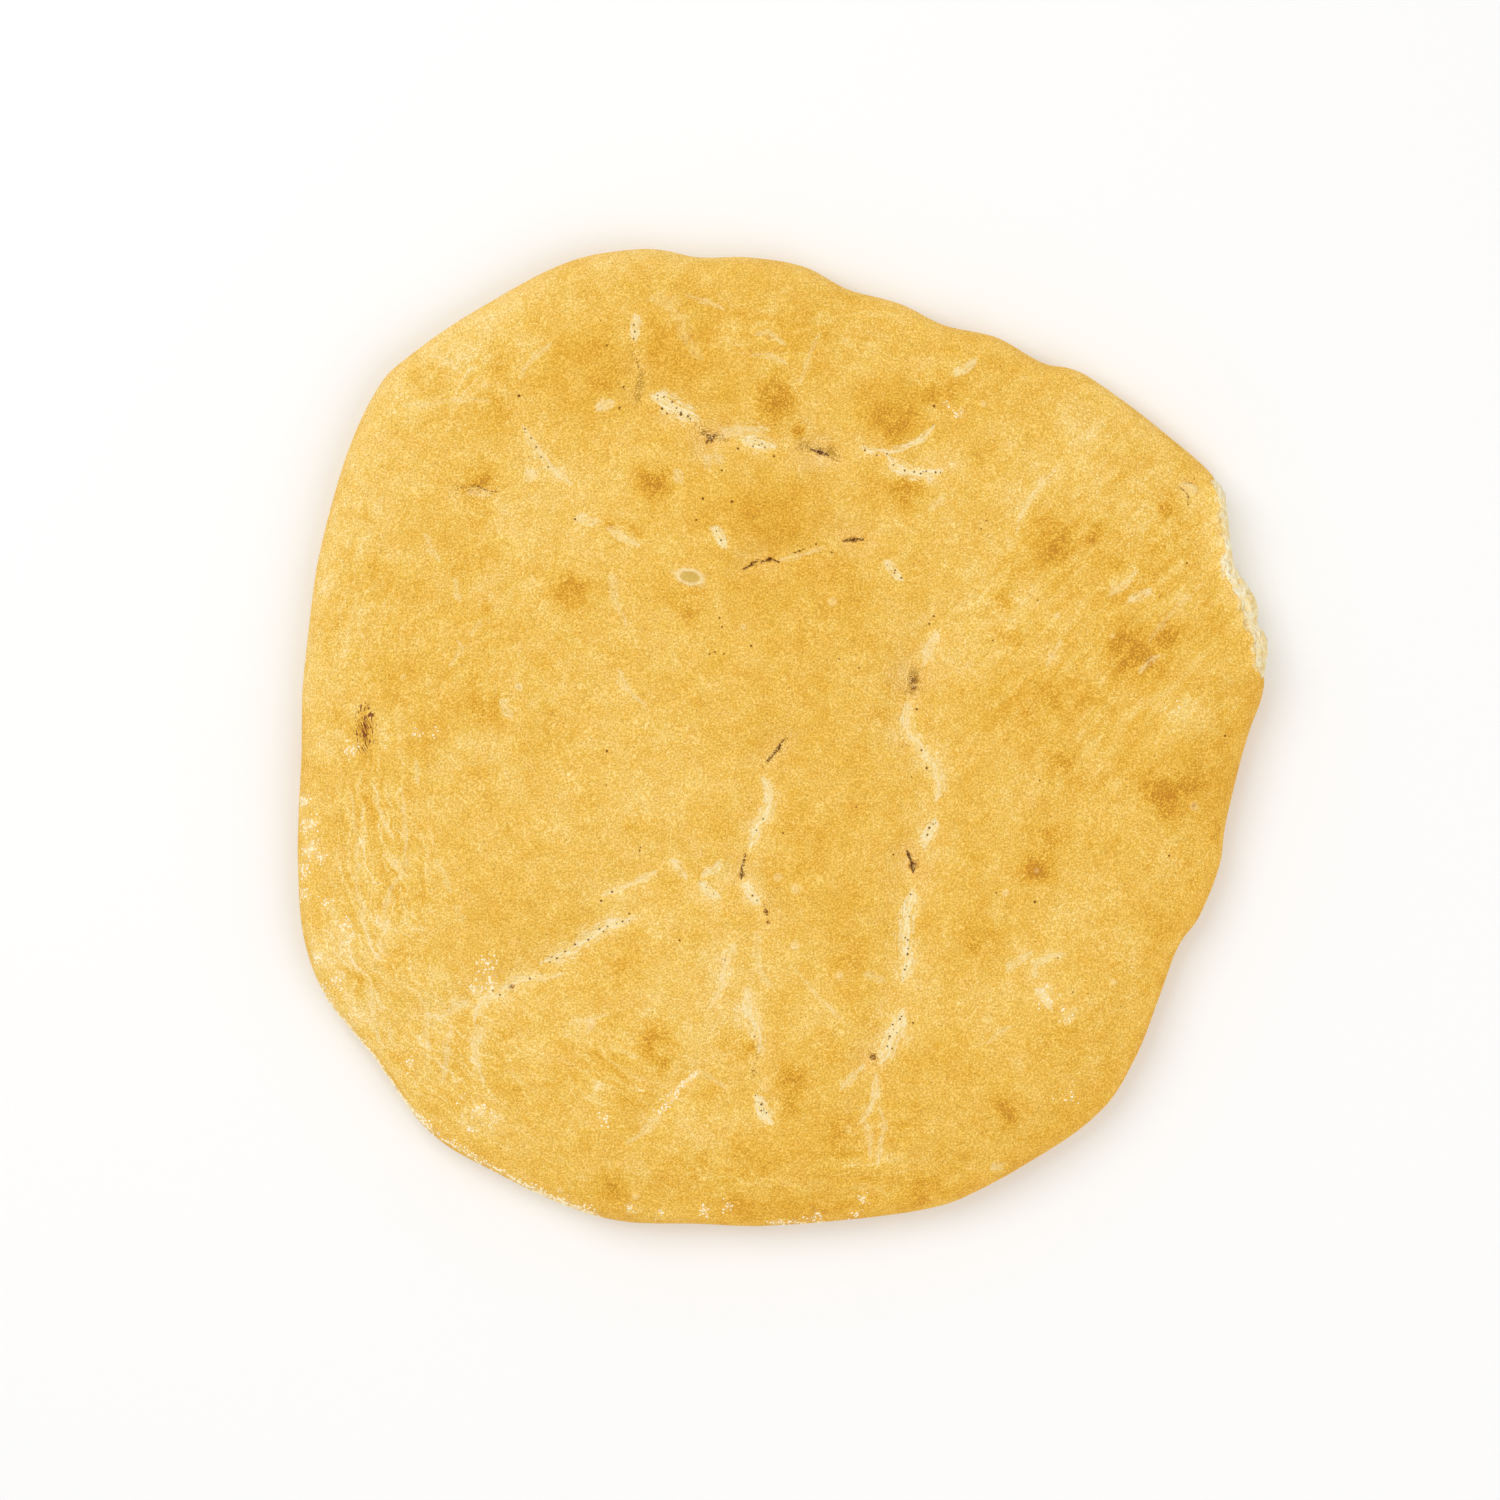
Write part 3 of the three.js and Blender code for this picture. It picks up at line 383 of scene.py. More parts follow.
# Where faint pale strokes cross the crust on a slant: middle and half sizes.
BRUSHED = (96, 34, 48, 62)
# How far the outlines of browned and pale spots wander, and in waves of what size.
SPOT_SHIFT = 2.2
SPOT_SHIFT_SIZE = 7
# Rows of tiny pits along the strong streaks: least strength of the streak, spacing, share kept, how far
# off the middle in half-widths, and their least and greatest radius.
ROW_STRENGTH = 0.85
ROW_SPACING = 1.5
ROW_SHARE = 0.55
ROW_SHIFT = 0.45
ROW_RADII = (0.2, 0.42)
ROW_SEED = 5
# The mesh's edges are halved near the marks, step by step, out to these distances from their edges.
HALVING_REACH = (0.76, 0.32)
FINEST_REACH = 0.25
# Waves of the skin: wavelength and height.
SKIN_WAVES = [(13, 0.24), (5, 0.08), (2.6, 0.04)]
# Depths and heights of the finer relief.
GROOVE_DEPTH = 0.35
FIBRE_HEIGHT = 0.22
WRINKLE_HEIGHT = 0.45
CRACK_DEPTH = 0.5
HOLLOW_DEPTH = 0.7
PINHOLE_DEPTH = 0.45
DARK_PIT_DEPTH = 0.9
BLISTER_HEIGHT = 0.4
SCAR_DEPTH = 0.5
SCAR_RIM_HEIGHT = 0.35
SCORCH_DEPTH = 0.35
FLAP_HEIGHT = 0.8
# How deep a blister's sunken middle goes, as a share of the blister's height, and how much of the relief
# the side gets.
SUNKEN_SHARE = 1.6
SIDE_RELIEF = 0.8
# Wrinkles along the rim: how wide they are, and how many to a radian round the loaf.
RIDGE_WIDTH = 2.6
RIDGES_PER_RADIAN = 9
# The uneven base: how high it rises at most, and in waves of what size.
BASE_RISE = 0.4
BASE_RISE_SIZE = 30
# Where each mark starts to fade and where it ends, as shares of its size.
BROWNED_EDGE = (0.2, 1.5)
AMBER_EDGE = (0.6, 1.15)
SCAR_EDGE = (0.6, 0.95)
BLISTER_EDGE = (0.55, 1.2)
SUNKEN_EDGE = (0.25, 0.5)
PIT_EDGE = (0.3, 1.1)
DARK_PIT_EDGE = (0.2, 1.35)
CRACK_EDGE = (0.1, 1.2)
FLAP_EDGE = (0.75, 1.05)
BUBBLE_EDGE = (0.12, 0.5)
# How raggedly the scar and the blisters are edged, and the scar's raised rim: its place and width as
# shares of the scar's size.
RAGGED_SIZE = 2.2
SCAR_RAGGED = 0.25
BLISTER_RAGGED = 0.2
SCAR_RIM_PLACE = 1.1
SCAR_RIM_WIDTH = 0.28
# Heights above the base: its top, the lowest flour, and where the look of the base and the paler tone of
# the lower side start and are full.
BASE_TOP = 0.3
LOWEST_FLOUR = 1.5
BASE_LOOK = (2.6, 0.4)
LOWER_SIDE = (10.5, 6.0)
# Open crumb on the torn face: size of the bubbles and how deep they are, and size of the lumps and how
# high they are.
CRUMB_BUBBLES = [(3.0, 0.9), (1.4, 0.55)]
CRUMB_WAVES = [(6, 0.5), (2, 0.4), (1.1, 0.3)]
# Inside the torn lip: how much crumb shows through the skin, how far in, and how far the skin is paler.
LIP_CRUMB = 0.42
LIP_CRUMB_REACH = 3.0
LIP_FADE = 9.0


def hump(distance, radius):
    """1 at the middle, falling smoothly to 0."""
    return np.exp(-(distance / radius) ** 2)


def ease(value, low, high):
    """0 below low, 1 above high, and smooth between."""
    share = np.clip((value - low) / (high - low), 0, 1)
    return share * share * (3 - 2 * share)


def blend(start, end, share):
    return start + (end - start) * share


def catmull_rom(before, start, end, after, t):
    """The place at t from start to end on a smooth curve through all four."""
    return 0.5 * (
        2 * start + (end - before) * t + (2 * before - 5 * start + 4 * end - after) * t ** 2
        + (3 * start - before - 3 * end + after) * t ** 3
    )


def curve_through(points, share):
    """Places on a closed smooth curve, at shares of its spans."""
    count = len(points)
    place = share * count
    span = np.floor(place).astype(int)
    t = (place - span)[:, None]
    return catmull_rom(*(points[(span + step) % count] for step in (-1, 0, 1, 2)), t)


def rim_at(share):
    """The outline's points at these shares of its length, counter-clockwise."""
    corners = np.array(OUTLINE[::-1], float)
    fine = curve_through(corners, np.linspace(0, 1, len(corners) * CURVE_STEPS, endpoint=False))
    fine = np.vstack([fine, fine[:1]])
    run = np.concatenate([[0], np.cumsum(np.linalg.norm(np.diff(fine, axis=0), axis=1))])
    wanted = share * run[-1]
    return np.column_stack([np.interp(wanted, run, fine[:, axis]) for axis in (0, 1)])


def torn_share(x, y):
    """How much the rim is torn in this direction from the middle."""
    angle = np.degrees(np.arctan2(y, x))
    opening = ease(angle, TEAR_START, TEAR_START + TEAR_FADE)
    return opening * (1 - ease(angle, TEAR_END - TEAR_FADE, TEAR_END))


def tear_inset(x, y):
    """How far inside the outline the crust's torn lip lies."""
    angle = np.arctan2(y, x)
    inset = TEAR_LIP_INSET + TEAR_BULGE * hump(np.degrees(angle) - TEAR_BULGE_ANGLE, TEAR_BULGE_SPREAD)
    for count, phase, height in TEAR_WAVES:
        inset = inset + height * np.sin(count * angle + phase)
    return inset


def along_route(x, y, route):
    """How far each point lies to the left or right of a route, how far along it, and the route's length."""
    beside = np.full(x.shape, np.inf)
    along = np.zeros(x.shape)
    run = 0.0
    for (ax, ay), (bx, by) in zip(route, route[1:]):
        length = math.hypot(bx - ax, by - ay)
        share = np.clip(((x - ax) * (bx - ax) + (y - ay) * (by - ay)) / length ** 2, 0, 1)
        gap = np.hypot(x - ax - share * (bx - ax), y - ay - share * (by - ay))
        side = np.where((bx - ax) * (y - ay) < (by - ay) * (x - ax), -1.0, 1.0)
        nearer = gap < np.abs(beside)
        beside = np.where(nearer, side * gap, beside)
        along = np.where(nearer, run + share * length, along)
        run += length
    return beside, along, run


def relief(x, y):
    """Domes, slow waves, creases and dimples, added to the crown's height."""
    height = np.zeros(x.shape)
    for dome_x, dome_y, radius, rise in DOMES:
        height += rise * hump(np.hypot(x - dome_x, y - dome_y), radius)
    for wavelength, direction, phase, rise in WAVES:
        across = x * math.cos(direction) + y * math.sin(direction)
        height += rise * np.sin(across / wavelength * 2 * math.pi + phase)
    deepest = np.zeros(x.shape)
    for width, depth, route in CREASES:
        deepest = np.maximum(deepest, depth * hump(along_route(x, y, route)[0], width))
    height -= deepest
    for dimple_x, dimple_y, radius, depth in DIMPLES:
        height -= depth * hump(np.hypot(x - dimple_x, y - dimple_y), radius)
    return height


def top_height(x, y, inset):
    """The crust's height, from its distance inside the rim and its relief."""
    reach = np.minimum(1, (inset + TEAR_STEP * torn_share(x, y)) / SHOULDER_WIDTH)
    rounding = (1 - (1 - reach) ** SHOULDER_POWER) ** (1 / SHOULDER_POWER)
    return SIDE_HEIGHT + rounding * (CROWN_HEIGHT - SIDE_HEIGHT + relief(x, y))


def ring_faces(upper, lower, count):
    """Triangles between two rings of as many points, where upper and lower are their first points."""
    here = np.arange(count)
    following = (here + 1) % count
    return np.vstack([
        np.column_stack([lower + here, lower + following, upper + here]),
        np.column_stack([upper + here, lower + following, upper + following]),
    ])


# The top: rings of points from the middle out to the lip.
rings = [np.zeros((1, 3))]
insets = [np.array([SHOULDER_WIDTH])]
for ring in range(1, TOP_RINGS + 1):
    rim = rim_at(np.arange(ring * SECTORS) / (ring * SECTORS))
    radius = np.hypot(rim[:, 0], rim[:, 1])
    torn = torn_share(rim[:, 0], rim[:, 1])
    lip = radius - blend(LIP_INSET, tear_inset(rim[:, 0], rim[:, 1]), torn)
    reach = 1 - (1 - ring / TOP_RINGS) ** RING_CROWDING
    place = rim * (lip * reach / radius)[:, None]
    inset = radius - lip * reach
    rings.append(np.column_stack([place, top_height(place[:, 0], place[:, 1], inset)]))
    insets.append(inset)
ring_start = np.concatenate([[0], np.cumsum([len(ring) for ring in rings])])
top_count = ring_start[-1]
faces = []
for ring in range(1, TOP_RINGS + 1):
    outer_count = ring * SECTORS
    inner_count = max(1, (ring - 1) * SECTORS)
    sector, step = np.divmod(np.arange(outer_count), ring)
    outer = ring_start[ring] + np.arange(outer_count)
    outer_next = ring_start[ring] + (np.arange(outer_count) + 1) % outer_count
    inner = sector * (ring - 1) + step
    inner_here = ring_start[ring - 1] + inner % inner_count
    inner_next = ring_start[ring - 1] + (inner + 1) % inner_count
    faces.append(np.column_stack([outer, outer_next, inner_here]))
    has_inner = step < ring - 1
    faces.append(np.column_stack([inner_here, outer_next, inner_next])[has_inner])

# The side: rows from the lip down to the base, on a smooth curve through the few rows that shape it.
rim = rim_at(np.arange(RIM_POINTS) / RIM_POINTS)
radius = np.hypot(rim[:, 0], rim[:, 1])
torn = torn_share(rim[:, 0], rim[:, 1])
tear = tear_inset(rim[:, 0], rim[:, 1])
side_keys = [np.column_stack([blend(LIP_INSET, tear, torn), rings[-1][:, 2]])]
for (round_inset, round_height), (torn_inset, torn_height) in zip(ROUND_SIDE, TORN_SIDE):
    side_keys.append(np.column_stack([
        blend(round_inset, torn_inset * tear, torn), blend(round_height, torn_height, torn),
    ]))
side_keys = [2 * side_keys[0] - side_keys[1]] + side_keys + [2 * side_keys[-1] - side_keys[-2]]
side_keys = np.array(side_keys)
upper_start = ring_start[-2]
next_start = top_count
for row in range(1, SIDE_ROWS + 1):
    place = row / SIDE_ROWS * len(ROUND_SIDE)
    span = min(int(place), len(ROUND_SIDE) - 1)
    inset, height = catmull_rom(*side_keys[span:span + 4], place - span).T
    rings.append(np.column_stack([rim * (1 - inset / radius)[:, None], np.maximum(height, 0)]))
    faces.append(ring_faces(upper_start, next_start, RIM_POINTS))
    upper_start = next_start
    next_start += RIM_POINTS

# The flat base: rings of points closing in on one in the middle.
base_edge = rings[-1]
for ring in range(1, BASE_RINGS):
    rings.append(base_edge * (1 - ring / BASE_RINGS))
    faces.append(ring_faces(upper_start, next_start, RIM_POINTS))
    upper_start = next_start
    next_start += RIM_POINTS
rings.append(np.zeros((1, 3)))
here = np.arange(RIM_POINTS)
faces.append(np.column_stack([
    np.full(RIM_POINTS, next_start), upper_start + (here + 1) % RIM_POINTS, upper_start + here,
]))

loaf_mesh = bpy.data.meshes.new("loaf")
loaf_mesh.from_pydata(np.vstack(rings).tolist(), [], np.vstack(faces).tolist())


def keep(name, amounts):
    """Store an amount for each point of the mesh."""
    layer = loaf_mesh.attributes.new(name, "FLOAT", "POINT")
    layer.data.foreach_set("value", amounts.astype(np.float32))


def kept(name):
    """The stored amounts, which new points on an edge share between its ends."""
    amounts = np.zeros(len(loaf_mesh.vertices), np.float32)
    loaf_mesh.attributes[name].data.foreach_get("value", amounts)
    return amounts


def places():
    """The mesh's points."""
    flat = np.zeros(len(loaf_mesh.vertices) * 3, np.float32)
    loaf_mesh.vertices.foreach_get("co", flat)
    return flat.reshape(-1, 3).astype(float)


def gap_to(x, y, lines, spots):
    """The distance to the edge of the nearest of these marks."""
    gap = np.full(x.shape, np.inf)
    for width, _, route in lines:
        gap = np.minimum(gap, np.abs(along_route(x, y, route)[0]) - width)
    for spot_x, spot_y, size, *_ in spots:
        gap = np.minimum(gap, np.hypot(x - spot_x, y - spot_y) - size)
    return gap


def halve_edges(near):
    """Split every edge with an end near a mark, and the faces beside it."""
    work = bmesh.new()
    work.from_mesh(loaf_mesh)
    edges = [edge for edge in work.edges if near[edge.verts[0].index] or near[edge.verts[1].index]]
    bmesh.ops.subdivide_edges(work, edges=edges, cuts=1)
    bmesh.ops.triangulate(work, faces=[face for face in work.faces if len(face.verts) > 3])
    work.to_mesh(loaf_mesh)
    work.free()


# Tiny pits strung along the middle of the strong streaks.
chance = np.random.default_rng(ROW_SEED)
pits = list(PINHOLES)
for width, strength, route in STREAKS:
    if strength < ROW_STRENGTH:
        continue
    for (ax, ay), (bx, by) in zip(route, route[1:]):
        length = math.hypot(bx - ax, by - ay)
        for step in range(int(length / ROW_SPACING)):
            run_chance, side_chance, size_chance, kept_chance = chance.random(4)
            share = (step + run_chance) * ROW_SPACING / length
            off = (2 * side_chance - 1) * ROW_SHIFT * width / length
            if kept_chance < ROW_SHARE:
                pits.append((
                    blend(ax, bx, share) - off * (by - ay), blend(ay, by, share) + off * (bx - ax),
                    blend(ROW_RADII[0], ROW_RADII[1], size_chance),
                ))

keep("inset", np.concatenate(insets + [np.zeros(next_start + 1 - top_count)]))
keep("top", (np.arange(next_start + 1) < top_count).astype(float))
for reach in HALVING_REACH:
    X, Y, Z = places().T
    marked = gap_to(X, Y, STREAKS + CRACKS, pits + DARK_PITS + BLISTERS + [SCAR, FLAP]) < reach
    on_tear = (torn_share(X, Y) > 0) & (np.hypot(X, Y) > TEAR_REGION) & (Z > 0.5)
    halve_edges((marked & (kept("top") > 0.9)) | on_tear)
X, Y, Z = places().T
halve_edges((gap_to(X, Y, CRACKS, pits + DARK_PITS) < FINEST_REACH) & (kept("top") > 0.9))

points = places()
X, Y, Z = points.T
inset = kept("inset")
top = kept("top") > 0.999
on_top = top.astype(float)
points[top, 2] = top_height(X[top], Y[top], inset[top])
count = len(points)


def wander(size, seed, where=None):
    """Smooth noise from about -1 to 1 at each point, with waves of about this size."""
    spots = (points if where is None else where) / size + seed
    return np.array([noise.noise(Vector(spot)) for spot in spots])


def spots_at(marks):
    """The strongest of the round marks at each point."""
    amount = np.zeros(count)
    for mark_x, mark_y, size, strength in marks:
        amount = np.maximum(amount, strength * hump(np.hypot(X - mark_x, Y - mark_y), size))
    return amount


def holes_at(marks, edge):
    """How much each point is in one of these small round holes."""
    amount = np.zeros(count)
    for mark_x, mark_y, size in marks:
        share = np.hypot(X - mark_x, Y - mark_y) / size
        amount = np.maximum(amount, 1 - ease(share, *edge))
    return amount


def oval_share(x, y, middle_x, middle_y, half_length, half_width, turn):
    """How far out each point is in a turned oval, from 0 in its middle to 1 at its edge."""
    turned = math.radians(turn)
    lengthways = (x - middle_x) * math.cos(turned) + (y - middle_y) * math.sin(turned)
    sideways = (y - middle_y) * math.cos(turned) - (x - middle_x) * math.sin(turned)
    return np.hypot(lengthways / half_length, sideways / half_width)


def lines_at(marks):
    """The strongest of the long marks at each point."""
    amount = np.zeros(count)
    for width, strength, route in marks:
        amount = np.maximum(amount, strength * hump(along_route(X, Y, route)[0], width))
    return amount


# Streaks: how strong the nearest is, how far across it in its own half-widths, and where along it. Their
# fibres run lengthways, and it thins towards its ends, but not below a least share.
FAR_ACROSS = 4.0
LEAST_TAPER = 0.12
FIBRED_ACROSS = 1.8
FIBRE_LENGTH = 5
FIBRE_WIDTH = 0.8
streak = np.zeros(count)
across = np.full(count, FAR_ACROSS)
streak_side = np.zeros(count)
streak_run = np.zeros(count)
for width, strength, route in STREAKS:
    beside, along, length = along_route(X, Y, route)
    taper = np.sqrt(np.clip(1 - np.abs(2 * along / length - 1) ** 3, LEAST_TAPER, 1))
    share = np.abs(beside) / (width * taper)
    nearer = share < across
    streak = np.where(nearer, strength, streak)
    across = np.where(nearer, share, across)
    streak_side = np.where(nearer, beside, streak_side)
    streak_run = np.where(nearer, along, streak_run)
streak *= on_top
near_streak = np.flatnonzero((across < FIBRED_ACROSS) & top)
fibres = np.zeros(count)
fibres[near_streak] = wander(1, 3.3, np.column_stack([
    streak_run[near_streak] / FIBRE_LENGTH, streak_side[near_streak] / FIBRE_WIDTH,
    streak[near_streak] * 9,
]))

# Browned spots and pale areas have uneven outlines, so their places are read a little shifted.
shifted_x = X + SPOT_SHIFT * wander(SPOT_SHIFT_SIZE, 4.4)
shifted_y = Y + SPOT_SHIFT * wander(SPOT_SHIFT_SIZE, 9.1)
browned = np.zeros(count)
for mark_x, mark_y, size, strength in BROWNED:
    share = np.hypot(shifted_x - mark_x, shifted_y - mark_y) / size
    browned += strength * (1 - ease(share, *BROWNED_EDGE))
amber = np.zeros(count)
for *oval, strength in AMBER:
    share = oval_share(shifted_x, shifted_y, *oval)
    amber = np.maximum(amber, strength * (1 - ease(share, *AMBER_EDGE)))
pale = np.zeros(count)
for mark_x, mark_y, size, strength in PALE_AREAS:
    pale += strength * hump(np.hypot(shifted_x - mark_x, shifted_y - mark_y), size)
wrinkled = np.zeros(count)
for mark_x, mark_y, half_x, half_y, strength in WRINKLED:
    share = np.hypot((X - mark_x) / half_x, (Y - mark_y) / half_y)
    wrinkled = np.maximum(wrinkled, strength * hump(share, 1))
wrinkled *= on_top
brushed = hump(np.hypot((X - BRUSHED[0]) / BRUSHED[2], (Y - BRUSHED[1]) / BRUSHED[3]), 1) * on_top
ragged = wander(RAGGED_SIZE, 8.8)
scar_share = oval_share(X, Y, *SCAR) + SCAR_RAGGED * ragged
scar = 1 - ease(scar_share, *SCAR_EDGE)
scar_rim = hump(scar_share - SCAR_RIM_PLACE, SCAR_RIM_WIDTH)
blister = np.zeros(count)
sunken = np.zeros(count)
for mark_x, mark_y, size, sink in BLISTERS:
    share = np.hypot(X - mark_x, Y - mark_y) / size + BLISTER_RAGGED * ragged
    blister = np.maximum(blister, 1 - ease(share, *BLISTER_EDGE))
    sunken = np.maximum(sunken, sink * (1 - ease(share, *SUNKEN_EDGE)))
pit = holes_at(pits, PIT_EDGE)
pit_with_painted_shade = holes_at(DARK_PITS, DARK_PIT_EDGE)
crack = np.zeros(count)
for width, strength, route in CRACKS:
    share = np.abs(along_route(X, Y, route)[0]) / width
    crack = np.maximum(crack, strength * (1 - ease(share, *CRACK_EDGE)))
hollow_with_painted_shade = lines_at(HOLLOWS_WITH_PAINTED_SHADE)
flap_share = np.hypot(shifted_x - FLAP[0], shifted_y - FLAP[1]) / FLAP[2]
flap_lean = (X - FLAP[0] + Y - FLAP[1]) / FLAP[2]
flap = (1 - ease(flap_share, *FLAP_EDGE)) * ease(flap_lean, -1.2, 0.6)
scorch = hump((X - SCORCH[0]) / SCORCH[2], 1) * hump((Y - SCORCH[1]) / SCORCH[3], 1)
for amount in (browned, pale, scar, scar_rim, blister, sunken, pit, pit_with_painted_shade, crack, hollow_with_painted_shade, flap, scorch):
    amount *= on_top
flour = np.where(Z > LOWEST_FLOUR, np.maximum(spots_at(FLOUR_SPOTS), lines_at(FLOUR_STREAKS)), 0.0)
under = np.where(top, 0.0, ease(-Z, -BASE_LOOK[0], -BASE_LOOK[1]))
low_side = np.where(top, 0.0, ease(-Z, -LOWER_SIDE[0], -LOWER_SIDE[1]))
# The torn face is all crumb; inside its lip the skin is rubbed through to crumb in places.
lip_gap = np.where(top, inset - tear_inset(X, Y), 0.0)
torn = torn_share(X, Y) * ease(np.hypot(X, Y), TEAR_REGION, TEAR_REGION + 3)
rubbed = LIP_CRUMB * (1 - ease(lip_gap, 0.3, LIP_CRUMB_REACH)) * on_top
crumb = torn * np.maximum(ease(1 - kept("top"), 0.1, 0.7), rubbed) * np.where(Z > BASE_TOP, 1.0, 0.0)

# The open crumb of the torn face: bubbles cut through and small lumps.
bubble = np.zeros(count)
crumb_lift = np.zeros(count)
on_crumb = np.flatnonzero(crumb > 0.02)
for size, depth in CRUMB_BUBBLES:
    gaps = np.array([noise.voronoi(Vector(place))[0][0] for place in points[on_crumb] / size])
    hole = 1 - ease(gaps, *BUBBLE_EDGE)
    bubble[on_crumb] = np.maximum(bubble[on_crumb], hole)
    crumb_lift[on_crumb] -= depth * hole
for size, rise in CRUMB_WAVES:
    crumb_lift[on_crumb] += rise * wander(size, 61.7, points[on_crumb])

# The finer relief, along the surface's own direction at each point.
loaf_mesh.vertices.foreach_set("co", points.astype(np.float32).ravel())
loaf_mesh.update()
outwards = np.zeros(count * 3, np.float32)
loaf_mesh.vertex_normals.foreach_get("vector", outwards)
outwards = outwards.reshape(-1, 3)
skin = sum(rise * wander(size, 7.9 * size) for size, rise in SKIN_WAVES)
around = np.arctan2(Y, -X)
ridges = wander(1, 21.5, np.column_stack([
    np.hypot(X, Y) / RIDGE_WIDTH, around * RIDGES_PER_RADIAN, np.zeros(count),
]))
lift = skin + WRINKLE_HEIGHT * wrinkled * ridges
lift -= GROOVE_DEPTH * streak * hump(across, 1.0)
lift += FIBRE_HEIGHT * streak * fibres * hump(across, 1.3)
lift -= CRACK_DEPTH * crack + HOLLOW_DEPTH * hollow_with_painted_shade
lift -= PINHOLE_DEPTH * pit + DARK_PIT_DEPTH * pit_with_painted_shade
lift += BLISTER_HEIGHT * (blister - SUNKEN_SHARE * sunken)
lift += SCAR_RIM_HEIGHT * scar_rim - SCAR_DEPTH * scar
lift += FLAP_HEIGHT * flap - SCORCH_DEPTH * scorch
lift = lift * (1 - crumb) + crumb_lift * crumb
flat_base = ~top & (Z < BASE_TOP)
lift = np.where(flat_base, 0, lift * np.where(top, 1, SIDE_RELIEF))
points += outwards * lift[:, None]
# Under the loaf the dough didn't quite touch the oven floor everywhere.
points[flat_base, 2] = BASE_RISE * np.clip(wander(BASE_RISE_SIZE, 5.5, points[flat_base]), 0, 1)
points[:, 2] = np.maximum(points[:, 2], 0)

# How baked each place is: 0.5 is golden, less is paler and more is browner. High places and the rim baked
# more, and the sides and the skin inside the tear less. The rim is browner still towards the lower right,
# and the whole crust a little browner towards the right, which is painted shade.
GOLDEN = 0.5
BAKE_DRIFT = 0.03
DRIFT_SIZE = 30
WRINKLES_BROWNER = 0.05
BROWNER_PER_MM_UP = 0.035
SIDE_PALER = 0.06
RIM_WIDTH = 9
RIM_BROWNER = 0.04
RIM_BROWNER_LOWER_RIGHT = 0.14
# Painted shade: the whole crust is made a little browner towards the right, as if the light fell off away
# from the left.
PAINTED_SHADE_TO_THE_RIGHT = 0.02
FRONT_BROWNER = 0.06
FRONT_MIDDLE = -140
FRONT_HALF_SIZES = (60, 26)
TORN_SKIN_PALER = 0.13
LOAF_RADIUS = 150
towards_lower_right = (0.64 * X - 0.77 * Y) / LOAF_RADIUS
bake = GOLDEN + amber - pale + WRINKLES_BROWNER * wrinkled + BAKE_DRIFT * wander(DRIFT_SIZE, 2.2)
bake += BROWNER_PER_MM_UP * (relief(X, Y) - 0.5) - SIDE_PALER * low_side
bake += hump(inset, RIM_WIDTH) * (RIM_BROWNER + RIM_BROWNER_LOWER_RIGHT * towards_lower_right)
# Painted shade, browner towards the right.
bake += PAINTED_SHADE_TO_THE_RIGHT * X / LOAF_RADIUS
bake += FRONT_BROWNER * hump(np.hypot(X / FRONT_HALF_SIZES[0], (Y - FRONT_MIDDLE) / FRONT_HALF_SIZES[1]), 1)
bake -= TORN_SKIN_PALER * torn * (1 - ease(lip_gap, 0, LIP_FADE)) * on_top
loaf_mesh.vertices.foreach_set("co", (points * MM).astype(np.float32).ravel())
loaf_mesh.attributes.remove(loaf_mesh.attributes["inset"])
loaf_mesh.attributes.remove(loaf_mesh.attributes["top"])
loaf_mesh.polygons.foreach_set("use_smooth", [True] * len(loaf_mesh.polygons))
loaf_mesh.update()
# Painted rim light: the thin edge of the rim is made lighter than the crust's colour alone gives it, and
# more so towards the lower right.
PAINTED_RIM_LIGHT_WIDTH = 7
PAINTED_RIM_LIGHT = 0.64
PAINTED_RIM_LIGHT_LOWER_RIGHT = 0.16
towards_lower_right_rim = (0.7 * X - 0.7 * Y) / np.maximum(np.hypot(X, Y), 1)
painted_rim_light = hump(inset, PAINTED_RIM_LIGHT_WIDTH) * (PAINTED_RIM_LIGHT + PAINTED_RIM_LIGHT_LOWER_RIGHT * towards_lower_right_rim)
for name, amounts in {
    "bake": bake, "painted_rim_light": painted_rim_light, "browned": browned, "streak": streak, "across": across,
    "streak_side": streak_side * MM, "streak_run": streak_run * MM, "wrinkled": wrinkled,
    "brushed": brushed, "pit": pit, "pit_with_painted_shade": pit_with_painted_shade, "crack": crack, "hollow_with_painted_shade": hollow_with_painted_shade,
    "scorch": scorch, "scar": scar, "scar_rim": scar_rim, "blister": blister,
    "sunken": sunken, "flap": flap, "flour": flour, "under": under, "crumb": crumb,
    "bubble": bubble,
}.items():
    keep(name, amounts)
loaf = bpy.data.objects.new("loaf", loaf_mesh)
bpy.context.scene.collection.objects.link(loaf)


# The baked crust is a thin dry skin, golden where the oven reached it and browner on the domes, cream
# where it was stretched. Up close it is a grain of pale and amber specks. The base is duller and floury.
def srgb(red, green, blue):
    """A colour from 0-255 values as linear light."""
    scaled = [channel / 255 for channel in (red, green, blue)]
    return tuple(c / 12.92 if c <= 0.04045 else ((c + 0.055) / 1.055) ** 2.4 for c in scaled) + (1.0,)


def add(tree, kind, inputs=None, **settings):
    """A new node with its settings, and its inputs either set or linked."""
    made = tree.nodes.new(kind)
    for name, value in settings.items():
        setattr(made, name, value)
    for name, value in (inputs or {}).items():
        if isinstance(value, bpy.types.NodeSocket):
            tree.links.new(value, made.inputs[name])
        else:
            made.inputs[name].default_value = value
    return made


def sums(tree, operation, first, second=0.0, third=0.0):
    """The result of one step of arithmetic."""
    return add(tree, "ShaderNodeMath", {0: first, 1: second, 2: third}, operation=operation).outputs[0]


